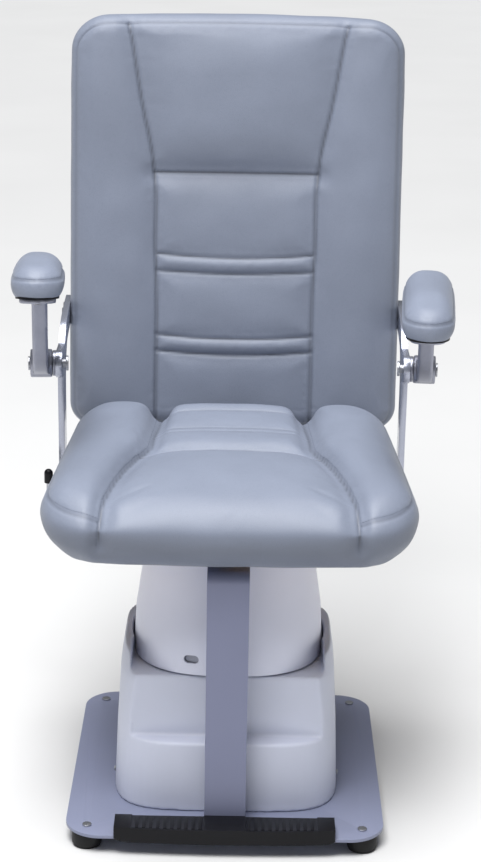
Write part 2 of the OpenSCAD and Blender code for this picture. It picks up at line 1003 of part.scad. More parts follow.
// Side bar: from under the seat, past the arm's pivot, to the side of the back.
// Points are [y, z, half width] of the bar's middle line.
bar_foot_y = 204;
bar_foot_t = 6;
bar_foot_x = side_bar_x - 80;
bar_line = [
    [bar_foot_y, board_z + bar_r - 3, bar_r], [bar_foot_y - 2, board_z + 84, bar_r],
    [bar_foot_y - 6, pivot_z - 52, bar_r + 1], [bar_foot_y, pivot_z - 6, bar_r + 3],
    [232, bar_top_z - 18, bar_r], [266, bar_top_z - 6, bar_r], [310, bar_top_z, bar_r],
    [350, bar_top_z + 3, bar_r]
];

module bar_foot_bolt_places() {
    for (side = [-1, 1], y = [-16, 16])
        translate([side * (bar_foot_x + 24), bar_foot_y + y, 0])
            children();
}

// Axes of the bolts that hold a bar to the back, pointing outwards
module back_bolt_places() {
    for (side = [-1, 1])
        mirrored(side)
            for (p = [[318, bar_top_z], [346, bar_top_z + 3]])
                translate([side_bar_x + side_bar_t, p[0], p[1]])
                    rotate([0, 90, 0])
                        children();
}

module side_bar() {
    difference() {
        union() {
            translate([side_bar_x, 0, 0])
                rotate([90, 0, 90])
                    linear_extrude(side_bar_t) {
                        polygon(strip_outline(spline(bar_line, 6)));
                        polygon(strip_outline([
                            [pivot_y, pivot_z, hub_d / 2], [200, pivot_z - 2, hub_d / 2 + 2]
                        ]));
                    }
            translate([bar_foot_x, bar_foot_y - 32, board_z - bar_foot_t])
                cube([side_bar_x + side_bar_t - bar_foot_x, 64, bar_foot_t]);
        }
        in_arm(1)
            rotate([0, 90, 0])
                translate([0, 0, -60])
                    cylinder(d = pin_d, h = 80);
        for (y = [-16, 16])
            translate([bar_foot_x + 24, bar_foot_y + y, board_z - 20])
                cylinder(d = m8 + 2 * hole_gap, h = 30);
    }
}

module right_side_bar() {
    color(silver_colour) on_axis() difference() {
        side_bar();
        back_bolt_places()
            translate([0, 0, -20])
                cylinder(d = m8 + 2 * hole_gap, h = 40);
    }
}

module left_side_bar() {
    color(silver_colour) on_axis() difference() {
        mirrored(-1)
            side_bar();
        back_bolt_places()
            translate([0, 0, -20])
                cylinder(d = m8 + 2 * hole_gap, h = 40);
    }
}

module side_bar_bolts() {
    color(black_colour) on_axis() {
        back_bolt_places()
            bolt(m8, side_bar_t + side_bar_gap + upright_cover + upright_t, 14, 4, 24);
        bar_foot_bolt_places()
            translate([0, 0, board_z - bar_foot_t])
                mirror([0, 0, 1])
                    bolt(m8, bar_foot_t + board_t - 2, 13, 4, 24);
    }
}

// ---------------------------------------------------------------- arms

// An arm's own frame: origin at the pivot, x outwards along the pin, -y forwards
module in_arm(side) {
    mirrored(side)
        translate([arm_x, pivot_y, pivot_z])
            rotate([0, 0, -toe_in])
                children();
}

hub_in = -18;
hub_out = 17;

// Washer plate between the bar and the moving hub, cut to the bar's face
module hub_plate() {
    difference() {
        in_arm(1)
            translate([hub_in - slide_gap - 20, 0, 0])
                rotate([0, 90, 0])
                    cylinder(d = hub_d - 4, h = 20);
        translate([side_bar_x + side_bar_t - 60, pivot_y - 40, pivot_z - 40])
            cube([60, 80, 80]);
        in_arm(1)
            translate([-60, 0, 0])
                rotate([0, 90, 0])
                    cylinder(d = pin_d, h = 80);
    }
}

module right_hub_plate() {
    color(silver_colour) on_axis()
        hub_plate();
}

module left_hub_plate() {
    color(silver_colour) on_axis()
        mirrored(-1)
            hub_plate();
}

// Pin with a round head inside the bar and a cap at its outer end
module pivot_pin() {
    in_arm(1) {
        translate([-40, 0, 0])
            rotate([0, 90, 0])
                cylinder(d = pin_d, h = hub_out + 40 + 0.5);
        translate([-43.5, 0, 0])
            rotate([0, 90, 0])
                cylinder(d = 24, h = 4);
        translate([hub_out + 0.5, 0, 0])
            rotate([0, 90, 0])
                cylinder(d = 22, h = 3);
    }
}

module right_pivot_pin() {
    color(steel_colour) on_axis()
        pivot_pin();
}

module left_pivot_pin() {
    color(steel_colour) on_axis()
        mirrored(-1)
            pivot_pin();
}

// Arm casting: hub, curved stem and the flange under the pad
flange_thick = 8;
flange_half = 27;
pad_front = pad_back + pad_len;
module arm_casting() {
    stem_t = 24;
    flange_z = pad_rise - flange_thick;
    difference() {
        union() {
            translate([hub_in, 0, 0])
                rotate([0, 90, 0])
                    cylinder(d = hub_d, h = hub_out - hub_in);
            translate([-stem_t / 2, 0, 0])
                rotate([90, 0, 90])
                    linear_extrude(stem_t)
                        intersection() {
                            polygon(strip_outline(spline([
                                [0, 0, 19], [-34, 7, 17], [-64, 27, 14], [-84, 58, 12.5],
                                [-96, flange_z - 22, 16], [-106, flange_z + 16, 34]
                            ], 6)));
                            translate([-200, -60])
                                square([260, flange_z + 61]);
                        }
            translate([0, -pad_back - pad_len / 2, flange_z])
                linear_extrude(flange_thick)
                    rounded_rect(2 * flange_half, pad_len - 50, 20);
        }
        translate([-60, 0, 0])
            rotate([0, 90, 0])
                cylinder(d = pin_d + 2 * run_gap, h = 120, $fn = 96);
        pad_screw_places()
            translate([0, 0, flange_z - 30])
                cylinder(d = 10 + 2 * hole_gap, h = 30, $fn = 24);
        pad_screw_places()
            translate([0, 0, flange_z - 1])
                cylinder(d = m5 + 2 * hole_gap, h = 30, $fn = 24);
    }
}

module pad_screw_places() {
    for (y = [-pad_back - 55, -pad_front + 55])
        translate([0, y, 0])
            children();
}

base_t = 6;
module arm_pad_base() {
    difference() {
        translate([0, -pad_back - pad_len / 2, pad_rise])
            linear_extrude(base_t)
                rounded_rect(arm_pad_w - 12, pad_len - 12, 30);
        pad_screw_places()
            translate([0, 0, pad_rise - 1])
                cylinder(d = m5, h = 20, $fn = 24);
    }
}

// Stadium-shaped pad with a pocket for its base
module arm_pad() {
    end_r = arm_pad_w / 2 - 1;
    difference() {
        translate([0, -pad_back - pad_len / 2, pad_rise + 1])
            linear_extrude(arm_pad_t - 1)
                rounded_rect(arm_pad_w, pad_len, end_r);
        translate([0, -pad_back - pad_len / 2, pad_rise - 1])
            linear_extrude(base_t + 1 + pocket_gap)
                rounded_rect(arm_pad_w - 12 + 2 * pocket_gap, pad_len - 12 + 2 * pocket_gap, 30);
    }
}

module pad_screws() {
    pad_screw_places()
        translate([0, 0, pad_rise - flange_thick])
            mirror([0, 0, 1])
                bolt(m5, flange_thick + base_t - 1, 10, 3, 24);
}

module right_raised() {
    in_arm(1)
        children();
}

module left_raised() {
    in_arm(-1)
        rotate([-left_raise, 0, 0])
            children();
}

module right_arm_casting() {
    color(silver_colour) on_axis() right_raised() arm_casting();
}

module right_arm_pad_base() {
    color(black_colour) on_axis() right_raised() arm_pad_base();
}

module right_arm_pad() {
    color(leather_colour) on_axis() right_raised() arm_pad();
}

module right_pad_screws() {
    color(steel_colour) on_axis() right_raised() pad_screws();
}

module left_arm_casting() {
    color(silver_colour) on_axis() left_raised() arm_casting();
}

module left_arm_pad_base() {
    color(black_colour) on_axis() left_raised() arm_pad_base();
}

module left_arm_pad() {
    color(leather_colour) on_axis() left_raised() arm_pad();
}

module left_pad_screws() {
    color(steel_colour) on_axis() left_raised() pad_screws();
}

// ---------------------------------------------------------------- swivel brake

// Block that guides the rod, screwed to the board beyond the seat plate
guide_r = 222;
module brake_rod_guide() {
    color(steel_colour) on_axis() along_lever() difference() {
        translate([guide_r, -8, board_z - 5.5])
            cube([10, 16, 5.5]);
        translate([guide_r - 1, 0, brake_z])
            rotate([0, 90, 0])
                cylinder(d = brake_rod_d + 2 * run_gap, h = 12);
    }
}

// Ears and pin of the lever
module lever_bracket() {
    color(steel_colour) on_axis() along_lever() {
        for (side = [-1, 1])
            translate([lever_pivot_r - 8, side * 8 - 1.5, lever_pivot_z - 5])
                cube([16, 3, board_z - lever_pivot_z + 5]);
        translate([lever_pivot_r, 9, lever_pivot_z])
            rotate([90, 0, 0])
                cylinder(d = 4, h = 18);
    }
}

// Shoe and rod; the rod's outer end is an eye round the lever's short arm
module brake_shoe() {
    shoe_len = 14;
    eye_half = 6;
    rod_end = lever_pivot_r - eye_half + 1;
    color(steel_colour) on_axis() along_lever() {
        difference() {
            translate([post_d / 2 - 2, -5.5, brake_z - 2])
                cube([shoe_len, 11, 4]);
            translate([0, 0, brake_z - 10])
                cylinder(d = post_d + 2 * slide_gap, h = 20, $fn = 96);
        }
        translate([post_d / 2 + 5, 0, brake_z])
            rotate([0, 90, 0])
                cylinder(d = brake_rod_d, h = rod_end - post_d / 2 - 5, $fn = 24);
        difference() {
            translate([lever_pivot_r - eye_half, -5, brake_z - 2])
                cube([2 * eye_half, 10, 4]);
            translate([lever_pivot_r - 2.4, -2.6, brake_z - 5])
                cube([4.8, 5.2, 10]);
        }
    }
}

// Lever: short upright arm beside the rod's end, boss on the pin, long arm to the knob
module brake_lever() {
    color(steel_colour) on_axis() along_lever() difference() {
        union() {
            translate([lever_pivot_r, 5.5, lever_pivot_z])
                rotate([90, 0, 0])
                    cylinder(d = 9, h = 11);
            translate([lever_pivot_r - 1.5, -2, lever_pivot_z])
                cube([3, 4, lever_arm + 1.5]);
            translate([lever_pivot_r, 0, lever_pivot_z])
                rotate([0, 90, 0])
                    cylinder(d = 7, h = knob_r - lever_pivot_r);
            translate([knob_r, 0, lever_pivot_z])
                cylinder(d = 7, h = knob_z - lever_pivot_z - 2);
            translate([knob_r, 0, lever_pivot_z])
                sphere(d = 7, $fn = 24);
        }
        translate([lever_pivot_r, 20, lever_pivot_z])
            rotate([90, 0, 0])
                cylinder(d = 4 + 2 * run_gap, h = 40, $fn = 48);
    }
}

module brake_lever_knob() {
    color(black_colour) on_axis() along_lever()
        translate([knob_r, 0, knob_z - 14])
            difference() {
                union() {
                    cylinder(d = knob_d, h = 16);
                    translate([0, 0, 16])
                        sphere(d = knob_d, $fn = 32);
                }
                translate([0, 0, -1])
                    cylinder(d = 7, h = 13);
            }
}

// ---------------------------------------------------------------- nodes

base_plate();
rubber_feet();
foot_screws();
outer_column();
column_bolts();
guide_pads();
lower_housing();
housing_screws();
actuator_body();
actuator_motor();
actuator_lower_pin();
power_inlet();
inner_column();
carriage_plate();
actuator_rod();
actuator_upper_pin();
upper_cover();
cover_screws();
access_plug();
swivel_post();
post_bolts();
lower_race();
bearing_balls();
footrest_bracket();
bracket_bolts();
footrest_tread();
tread_screws();
upper_race();
seat_plate();
seat_plate_bolts();
seat_board();
seat_cushion();
back_board();
back_uprights();
back_cushion();
back_cover();
left_side_bar();
right_side_bar();
side_bar_bolts();
left_hub_plate();
right_hub_plate();
left_pivot_pin();
right_pivot_pin();
brake_rod_guide();
lever_bracket();
brake_shoe();
brake_lever();
brake_lever_knob();
left_arm_casting();
left_arm_pad_base();
left_arm_pad();
left_pad_screws();
right_arm_casting();
right_arm_pad_base();
right_arm_pad();
right_pad_screws();
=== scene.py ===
"""Looks of a powered examination chair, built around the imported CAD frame.

Lengths inside a cushion's own plane are in millimetres (MM turns them into metres);
everything placed in the scene is in metres, in the row frame.
"""
import json
import math
from collections import namedtuple

import bmesh
import bpy
import numpy as np
from mathutils import Matrix, Vector, kdtree, noise


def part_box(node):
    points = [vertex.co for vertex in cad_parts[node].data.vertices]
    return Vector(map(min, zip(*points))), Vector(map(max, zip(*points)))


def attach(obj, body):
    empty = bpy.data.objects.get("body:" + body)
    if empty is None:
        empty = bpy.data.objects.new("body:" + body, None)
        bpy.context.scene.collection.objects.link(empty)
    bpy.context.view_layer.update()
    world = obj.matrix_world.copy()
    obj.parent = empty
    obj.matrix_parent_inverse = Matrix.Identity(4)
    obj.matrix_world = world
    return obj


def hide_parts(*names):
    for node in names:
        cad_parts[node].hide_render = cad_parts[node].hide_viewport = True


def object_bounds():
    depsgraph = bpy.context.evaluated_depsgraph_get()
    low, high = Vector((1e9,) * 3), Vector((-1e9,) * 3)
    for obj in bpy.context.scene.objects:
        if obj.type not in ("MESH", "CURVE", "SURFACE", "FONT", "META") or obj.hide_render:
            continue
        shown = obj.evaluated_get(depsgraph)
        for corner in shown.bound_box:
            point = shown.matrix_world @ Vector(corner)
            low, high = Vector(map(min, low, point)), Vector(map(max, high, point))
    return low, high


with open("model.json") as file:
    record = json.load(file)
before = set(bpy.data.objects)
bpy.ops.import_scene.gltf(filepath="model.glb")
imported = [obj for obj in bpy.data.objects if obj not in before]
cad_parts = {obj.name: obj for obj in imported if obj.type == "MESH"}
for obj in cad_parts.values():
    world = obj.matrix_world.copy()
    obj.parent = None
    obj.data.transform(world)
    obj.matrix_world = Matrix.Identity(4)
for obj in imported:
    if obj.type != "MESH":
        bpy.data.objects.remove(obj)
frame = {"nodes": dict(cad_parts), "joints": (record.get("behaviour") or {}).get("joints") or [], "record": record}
CAD_LO, CAD_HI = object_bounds()
NODES = frame["nodes"]
SLOT_OF = {s["node"]: s["material_slot"] for s in frame["record"]["subparts"]}
JOINTS = {j["name"]: j for j in frame["joints"]}
BODY_OF = {
    n: b for b, names in frame["record"]["behaviour"]["bodies"].items() for n in names
}
MM = 0.001
SCENE = bpy.context.scene


def centre(node):
    lo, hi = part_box(node)
    return (lo + hi) / 2


AXIS = centre("swivel_post")

# ------------------------------------------------------------------ camera

CAMERA_AWAY = 3.1371  # in front of the swivel axis
CAMERA_ASIDE = 0.0132
CAMERA_UP = 1.5594
PITCH, YAW, ROLL = (math.radians(a) for a in (17.277, 0.011, 0.98))
SENSOR = 36.0
FOCAL_SHARE = 2150 / 862  # focal length as a share of the frame's height


def make_camera():
    ahead = Vector((math.sin(YAW) * math.cos(PITCH), math.cos(YAW) * math.cos(PITCH), -math.sin(PITCH)))
    level = Vector((math.cos(YAW), -math.sin(YAW), 0))
    above = level.cross(ahead)
    right = math.cos(ROLL) * level + math.sin(ROLL) * above
    up = -math.sin(ROLL) * level + math.cos(ROLL) * above
    data = bpy.data.cameras.new("camera")
    data.sensor_fit = "VERTICAL"
    data.sensor_height = SENSOR
    data.lens = SENSOR * FOCAL_SHARE
    data.clip_end = 100
    camera = bpy.data.objects.new("camera", data)
    SCENE.collection.objects.link(camera)
    turn = Matrix((right, up, -ahead)).transposed().to_4x4()
    place = Vector((AXIS.x + CAMERA_ASIDE, AXIS.y - CAMERA_AWAY, CAMERA_UP))
    camera.matrix_world = Matrix.Translation(place) @ turn
    SCENE.camera = camera


# ------------------------------------------------------------------ materials


class Shader:
    """A Principled material whose nodes are added one call at a time."""

    def __init__(self, name):
        self.material = bpy.data.materials.new(name)
        self.material.use_nodes = True
        self.tree = self.material.node_tree
        self.main = self.tree.nodes["Principled BSDF"]
        self.place = self.tree.nodes.new("ShaderNodeTexCoord").outputs["Object"]

    def node(self, kind, inputs=(), **settings):
        made = self.tree.nodes.new(kind)
        for key, value in settings.items():
            setattr(made, key, value)
        for key, value in dict(inputs).items():
            if isinstance(value, bpy.types.NodeSocket):
                self.tree.links.new(value, made.inputs[key])
            else:
                made.inputs[key].default_value = value
        return made

    def stretched(self, scale):
        mapping = self.node("ShaderNodeMapping", {"Vector": self.place, "Scale": scale})
        return mapping.outputs["Vector"]

    def noise(self, scale, detail=4, rough=0.5, place=None):
        inputs = {"Vector": place or self.place, "Scale": scale, "Detail": detail, "Roughness": rough}
        return self.node("ShaderNodeTexNoise", inputs).outputs["Fac"]

    def cells(self, scale, feature="DISTANCE_TO_EDGE", place=None):
        inputs = {"Vector": place or self.place, "Scale": scale}
        return self.node("ShaderNodeTexVoronoi", inputs, feature=feature).outputs["Distance"]

    def ramp(self, value, stops):
        ramp = self.node("ShaderNodeValToRGB", {"Fac": value})
        elements = ramp.color_ramp.elements
        while len(elements) < len(stops):
            elements.new(0.5)
        for element, (at, colour) in zip(elements, stops):
            element.position = at
            element.color = (*colour, 1) if len(colour) == 3 else colour
        return ramp.outputs["Color"]

    def span(self, value, low, high):
        inputs = {"Value": value, "To Min": low, "To Max": high}
        return self.node("ShaderNodeMapRange", inputs).outputs["Result"]

    def add(self, a, b, operation="ADD"):
        return self.node("ShaderNodeMath", {0: a, 1: b}, operation=operation).outputs["Value"]

    def multiply(self, a, b):
        # inputs 6 and 7 and output 2 are the mix node's colour sockets
        inputs = {0: 1.0, 6: a, 7: b}
        return self.node("ShaderNodeMix", inputs, data_type="RGBA", blend_type="MULTIPLY").outputs[2]

    def bump(self, height, strength, distance):
        inputs = {"Height": height, "Strength": strength, "Distance": distance}
        return self.node("ShaderNodeBump", inputs).outputs["Normal"]

    def set(self, **inputs):
        for key, value in inputs.items():
            socket = self.main.inputs[key.replace("_", " ")]
            if isinstance(value, bpy.types.NodeSocket):
                self.tree.links.new(value, socket)
            else:
                socket.default_value = value
        return self.material


def shaded(colour, k):
    return tuple(min(1.0, c * k) for c in colour)


def leather(name, colour):
    """Soft upholstery leather: pebbled grain, pores, faint cloudy tone, and painted shade read from the mesh."""
    s = Shader(name)
    cloud = s.noise(7, 5, 0.6)
    pebble = s.cells(620)
    small = s.noise(1500, 3, 0.6)
    creased = s.noise(90, 6, 0.65)
    base = s.ramp(cloud, [(0.25, shaded(colour, 0.93)), (0.75, shaded(colour, 1.07))])
    dark = s.ramp(pebble, [(0.0, shaded((1, 1, 1), 0.86)), (0.12, (1, 1, 1))])
    pored = s.multiply(base, dark)
    # painted shade read from the mesh: darker in the sewn seam grooves and down the seat's sides
    painted_shade = s.node("ShaderNodeAttribute", attribute_name="painted_shade").outputs["Fac"]
    painted_shade_tint = s.ramp(painted_shade, [(0.0, (1, 1, 1)), (1.0, (0.5, 0.5, 0.5))])
    grain = s.add(s.add(s.span(pebble, 0, 2.2), s.span(small, 0, 0.5)), s.span(creased, 0, 1.0))
    rough = s.add(s.span(cloud, 0.38, 0.46), s.span(small, 0, 0.08))
    return s.set(
        Base_Color=s.multiply(pored, painted_shade_tint), Roughness=rough, Specular_IOR_Level=0.42,
        Normal=s.bump(grain, 0.22, 0.0006), Sheen_Weight=0.06, Sheen_Roughness=0.5,
    )


def paint(name, colour, rough=0.38, metal=0.0, coat=0.0):
    """Sprayed paint: fine orange peel, faint dust and slight uneven gloss."""
    s = Shader(name)
    cloud = s.noise(4, 4, 0.6)
    peel = s.noise(260, 2, 0.4)
    speck = s.cells(900, "F1")
    base = s.ramp(cloud, [(0.3, shaded(colour, 0.96)), (0.7, shaded(colour, 1.04))])
    height = s.add(s.span(peel, 0, 1), s.span(speck, 0, 0.25))
    return s.set(
        Base_Color=base, Metallic=metal, Roughness=s.span(cloud, rough - 0.05, rough + 0.06),
        Normal=s.bump(height, 0.12, 0.0003), Coat_Weight=coat, Coat_Roughness=0.12,
    )


def moulded(name, colour, rough=0.42, grain=0.25, scale=900, gloss=0.35):
    """Moulded plastic or rubber with a fine spark texture."""
    s = Shader(name)
    cloud = s.noise(5, 4, 0.55)
    spark = s.noise(scale, 3, 0.7)
    flow = s.noise(30, 3, 0.5)
    base = s.ramp(cloud, [(0.3, shaded(colour, 0.965)), (0.7, shaded(colour, 1.03))])
    height = s.add(s.span(spark, 0, 1), s.span(flow, 0, 1.6))
    return s.set(
        Base_Color=base, Roughness=s.span(spark, rough - 0.05, rough + 0.07),
        Normal=s.bump(height, grain, 0.0003), Specular_IOR_Level=gloss,
    )


def metal(name, colour, rough=0.3, brushed=True, polish=1.0):
    """Machined or cast metal: drawn lines or a fine cast skin."""
    s = Shader(name)
    if brushed:
        lines = s.noise(60, 5, 0.7, s.stretched((1, 30, 30)))
        height = s.span(lines, 0, 1)
    else:
        lines = s.noise(420, 5, 0.7)
        height = s.add(s.span(lines, 0, 1), s.span(s.cells(160, "F1"), 0, 0.5))
    wear = s.noise(18, 5, 0.7)
    base = s.ramp(wear, [(0.3, shaded(colour, 0.93)), (0.7, shaded(colour, 1.05))])
    return s.set(
        Base_Color=base, Metallic=polish, Roughness=s.span(lines, rough - 0.06, rough + 0.1),
        Normal=s.bump(height, 0.15, 0.0003),
    )


def wood(name):
    """Birch plywood with fine long grain."""
    s = Shader(name)
    grain = s.noise(9, 8, 0.7, s.stretched((1, 14, 14)))
    fibre = s.noise(60, 4, 0.6, s.stretched((1, 12, 12)))
    dark, mid, light = (0.42, 0.27, 0.13), (0.62, 0.46, 0.28), (0.7, 0.55, 0.36)
    base = s.ramp(grain, [(0.3, dark), (0.6, mid), (0.8, light)])
    return s.set(Base_Color=base, Roughness=s.span(fibre, 0.5, 0.7), Normal=s.bump(fibre, 0.2, 0.0004))


LEATHER = (0.215, 0.243, 0.315)
FINISH = {
    "plate_paint": paint("plate_paint", (0.24, 0.262, 0.375), 0.42),
    "band_paint": paint("band_paint", (0.19, 0.205, 0.31), 0.45),
    "column_paint": paint("column_paint", (0.3, 0.32, 0.38), 0.4),
    "white_shell": moulded("white_shell", (0.62, 0.65, 0.77), 0.45, 0.1, 500),
    "black_plastic": moulded("black_plastic", (0.006, 0.006, 0.008), 0.34, 0.2, 700, 0.2),
    "rubber": moulded("rubber", (0.009, 0.009, 0.01), 0.6, 0.3, 600),
    "steel": metal("steel", (0.45, 0.46, 0.49), 0.4),
    "silver_paint": paint("silver_paint", (0.4, 0.42, 0.5), 0.25, 0.75, 0.3),
    "silver_casting": metal("silver_casting", (0.3, 0.31, 0.37), 0.34, False, 0.8),
    "leather": leather("leather", LEATHER),
    "pad_leather": leather("pad_leather", shaded(LEATHER, 1.06)),
    "rear_leather": leather("rear_leather", shaded(LEATHER, 0.94)),
    "plywood": wood("plywood"),
    "black_bolt": metal("black_bolt", (0.05, 0.05, 0.055), 0.34, False, 0.9),
    "guide_plastic": moulded("guide_plastic", (0.72, 0.73, 0.75), 0.45),
}
THREAD = moulded("thread", shaded(LEATHER, 0.72), 0.7, 0.5, 2500)


# ------------------------------------------------------------------ mesh helpers


def add_piece(name, mesh, material, body):
    piece = bpy.data.objects.new(name, mesh)
    SCENE.collection.objects.link(piece)
    mesh.materials.clear()
    mesh.materials.append(material)
    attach(piece, body)
    return piece


def bake_modifiers(piece):
    """The piece's mesh as its modifiers leave it, with the modifiers gone."""
    graph = bpy.context.evaluated_depsgraph_get()
    graph.update()
    done = bpy.data.meshes.new_from_object(piece.evaluated_get(graph), depsgraph=graph)
    piece.modifiers.clear()
    old = piece.data
    piece.data = done
    bpy.data.meshes.remove(old)
    return done


def smooth_all(mesh):
    for face in mesh.polygons:
        face.use_smooth = True


def smooth_by_angle(mesh, degrees):
    bm = bmesh.new()
    bm.from_mesh(mesh)
    limit = math.radians(degrees)
    for face in bm.faces:
        face.smooth = True
    for edge in bm.edges:
        edge.smooth = len(edge.link_faces) == 2 and edge.calc_face_angle(0) < limit
    bm.to_mesh(mesh)
    bm.free()


def restyled(node, voxel=0.0, passes=6, bevel=0.0, extra=None, angle=32, material=None):
    """A finished copy of a CAD node that stands for it: moulded edges, or bevelled ones."""
    mesh = NODES[node].data.copy()
    bm = bmesh.new()
    bm.from_mesh(mesh)
    bmesh.ops.remove_doubles(bm, verts=bm.verts, dist=2e-6)
    if bevel:
        bmesh.ops.dissolve_limit(bm, angle_limit=math.radians(0.6), verts=bm.verts, edges=bm.edges)
    if extra:
        extra(bm)
    bm.to_mesh(mesh)
    bm.free()
    for name in [a.name for a in mesh.attributes if a.name == "custom_normal"]:
        mesh.attributes.remove(mesh.attributes[name])
    slot = SLOT_OF[node]
    piece = add_piece(node + "_finished", mesh, material or FINISH[slot], BODY_OF[node])
    if voxel:
        remesh = piece.modifiers.new("remesh", "REMESH")
        remesh.mode = "VOXEL"
        remesh.voxel_size = voxel
        remesh.use_smooth_shade = True
        relax = piece.modifiers.new("relax", "SMOOTH")
        relax.factor = 0.5
        relax.iterations = passes
    if bevel:
        round_off(piece, bevel, angle)
    done = bake_modifiers(piece)
    if voxel:
        smooth_all(done)
    else:
        smooth_by_angle(done, 28)
    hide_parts(node)
    return piece


def round_off(piece, width, angle=32):
    bevel = piece.modifiers.new("bevel", "BEVEL")
    bevel.width = width
    bevel.segments = 3
    bevel.limit_method = "ANGLE"
    bevel.angle_limit = math.radians(angle)
    bevel.use_clamp_overlap = True
    bevel.harden_normals = False


def spline(points, steps=8):
    """A smooth curve through a few points (Catmull-Rom)."""
    p = [np.array(q, float) for q in points]
    p = [2 * p[0] - p[1]] + p + [2 * p[-1] - p[-2]]
    out = []
    for a, b, c, d in zip(p, p[1:], p[2:], p[3:]):
        for k in range(steps):
            t = k / steps
            square, cube = 2 * a - 5 * b + 4 * c - d, 3 * b - a - 3 * c + d
            out.append(0.5 * (2 * b + (c - a) * t + square * t * t + cube * t ** 3))
    out.append(p[-2])
    return np.array(out)


def distance_to(curve, uv):
    """Distance of each point of uv to an open line."""
    best = np.full(len(uv), 1e9)
    for a, b in zip(curve, curve[1:]):
        ab = b - a
        t = np.clip(((uv - a) @ ab) / max(ab @ ab, 1e-9), 0, 1)
        best = np.minimum(best, np.linalg.norm(uv - a - t[:, None] * ab, axis=1))
    return best


# ------------------------------------------------------------------ cushions


class Slab:
    """A closed cushion on a grid: u across, v along, w from the show face inwards, all in mm.

    Each point also keeps its place on the unrolled cover (flat) and its distance
    inside the outline (inside, negative down the sides), which the seams are laid out in.
    """

    def __init__(self, half_w, half_l, thick, corners, top_round, low_round, step):
        self.half_w, self.half_l, self.thick = half_w, half_l, thick
        self.corners = corners  # radius at the low and the high end of v
        self.top_round, self.low_round = top_round, low_round
        nu, nv = round(2 * half_w / step), round(2 * half_l / step)
        self.points, self.flat, self.inside, self.faces = [], [], [], []
        us = [-half_w + 2 * half_w * i / nu for i in range(nu + 1)]
        vs = [-half_l + 2 * half_l * j / nv for j in range(nv + 1)]
        top = [[self.face_point(u, v, False) for v in vs] for u in us]
        low = [[self.face_point(u, v, True) for v in vs] for u in us]
        for i in range(nu):
            for j in range(nv):
                self.faces.append((top[i][j], top[i + 1][j], top[i + 1][j + 1], top[i][j + 1]))
                self.faces.append((low[i][j], low[i][j + 1], low[i + 1][j + 1], low[i + 1][j]))
        rim = [(i, 0) for i in range(nu)] + [(nu, j) for j in range(nv)]
        rim += [(i, nv) for i in range(nu, 0, -1)] + [(0, j) for j in range(nv, 0, -1)]
        rows = max(3, round((thick - 0.6 * (top_round + low_round)) / step))
        columns = []
        for i, j in rim:
            column = [self.side_point(us[i], vs[j], k / rows) for k in range(1, rows)]
            columns.append([top[i][j]] + column + [low[i][j]])
        for a, b in zip(columns, columns[1:] + columns[:1]):
            for k in range(rows):
                self.faces.append((a[k], a[k + 1], b[k + 1], b[k]))
        self.points = np.array(self.points)
        self.flat = np.array(self.flat)
        self.inside = np.array(self.inside)

    def plan(self, u, v):
        """Grid point to rounded outline: place, outward direction, distance inside."""
        r = self.corners[0] if v < 0 else self.corners[1]
        a, b = (abs(u) - self.half_w + r) / r, (abs(v) - self.half_l + r) / r
        su, sv = math.copysign(1, u), math.copysign(1, v)
        if a > 0 and b > 0:
            a, b = a * math.sqrt(1 - b * b / 2), b * math.sqrt(1 - a * a / 2)
            far = math.hypot(a, b)
            place = (su * (self.half_w - r + a * r), sv * (self.half_l - r + b * r))
            return place, (su * a / far, sv * b / far), r * (1 - far)
        du, dv = self.half_w - abs(u), self.half_l - abs(v)
        if du < dv:
            return (u, v), (su, 0), du
        return (u, v), (0, sv), dv

    def low_radius(self, out):
        return self.low_round

    def keep(self, place, out, back, depth, flat, inside):
        self.points.append((place[0] - out[0] * back, place[1] - out[1] * back, depth))
        self.flat.append(flat)
        self.inside.append(inside)
        return len(self.points) - 1

    def face_point(self, u, v, low):
        place, out, d = self.plan(u, v)
        radius = self.low_radius(out) if low else self.top_round
        arc = radius * math.pi / 4
        back, drop = 0.0, 0.0
        if d < arc:
            angle = (1 - d / arc) * math.pi / 4
            back, drop = radius * (1 - math.sin(angle)) - d, radius * (1 - math.cos(angle))
        else:  # the flat part gives the rounding its room little by little
            back = (radius - arc) * (1 - smooth_step(d, arc, 0.95 * min(self.corners)))
        if not low:
            return self.keep(place, out, back, drop, place, d)
        length = self.side_length(radius)
        flat = (place[0] + out[0] * (length + 2 * d), place[1] + out[1] * (length + 2 * d))
        return self.keep(place, out, back, self.thick - drop, flat, -length - d)

    def side_length(self, low_radius):
        return self.thick - (self.top_round + low_radius) * (1 - math.pi / 4)

    def side_point(self, u, v, share):
        place, out, _ = self.plan(u, v)
        low_radius = self.low_radius(out)
        length = self.side_length(low_radius)
        s = share * length
        top_arc, low_arc = self.top_round * math.pi / 4, low_radius * math.pi / 4
        if s < top_arc:
            angle = math.pi / 4 + s / self.top_round
            back, depth = self.top_round * (1 - math.sin(angle)), self.top_round * (1 - math.cos(angle))
        elif s < length - low_arc:
            back, depth = 0.0, self.top_round + s - top_arc
        else:
            angle = math.pi / 4 + (length - s) / low_radius
            back = low_radius * (1 - math.sin(angle))
            depth = self.thick - low_radius * (1 - math.cos(angle))
        flat = (place[0] + out[0] * s, place[1] + out[1] * s)
        return self.keep(place, out, back, depth, flat, -s)


class SeatSlab(Slab):
    """The seat's lower edge is rounder at its sides than at its front."""

    def low_radius(self, out):
        return 30 + 40 * out[0] ** 2


# A line on the flat cover, or a distance inside the outline, with its valley's
# depth and width and the depth of its sewn groove
Seam = namedtuple("Seam", "line depth width groove")


def gauss(d, width):
    return np.exp(-((d / width) ** 2))


def smooth_step(x, low, high):
    t = np.clip((x - low) / (high - low), 0, 1)
    return t * t * (3 - 2 * t)


def attribute(mesh, name, values):
    made = mesh.attributes.new(name, "FLOAT", "POINT")
    made.data.foreach_set("value", np.asarray(values, np.float32))


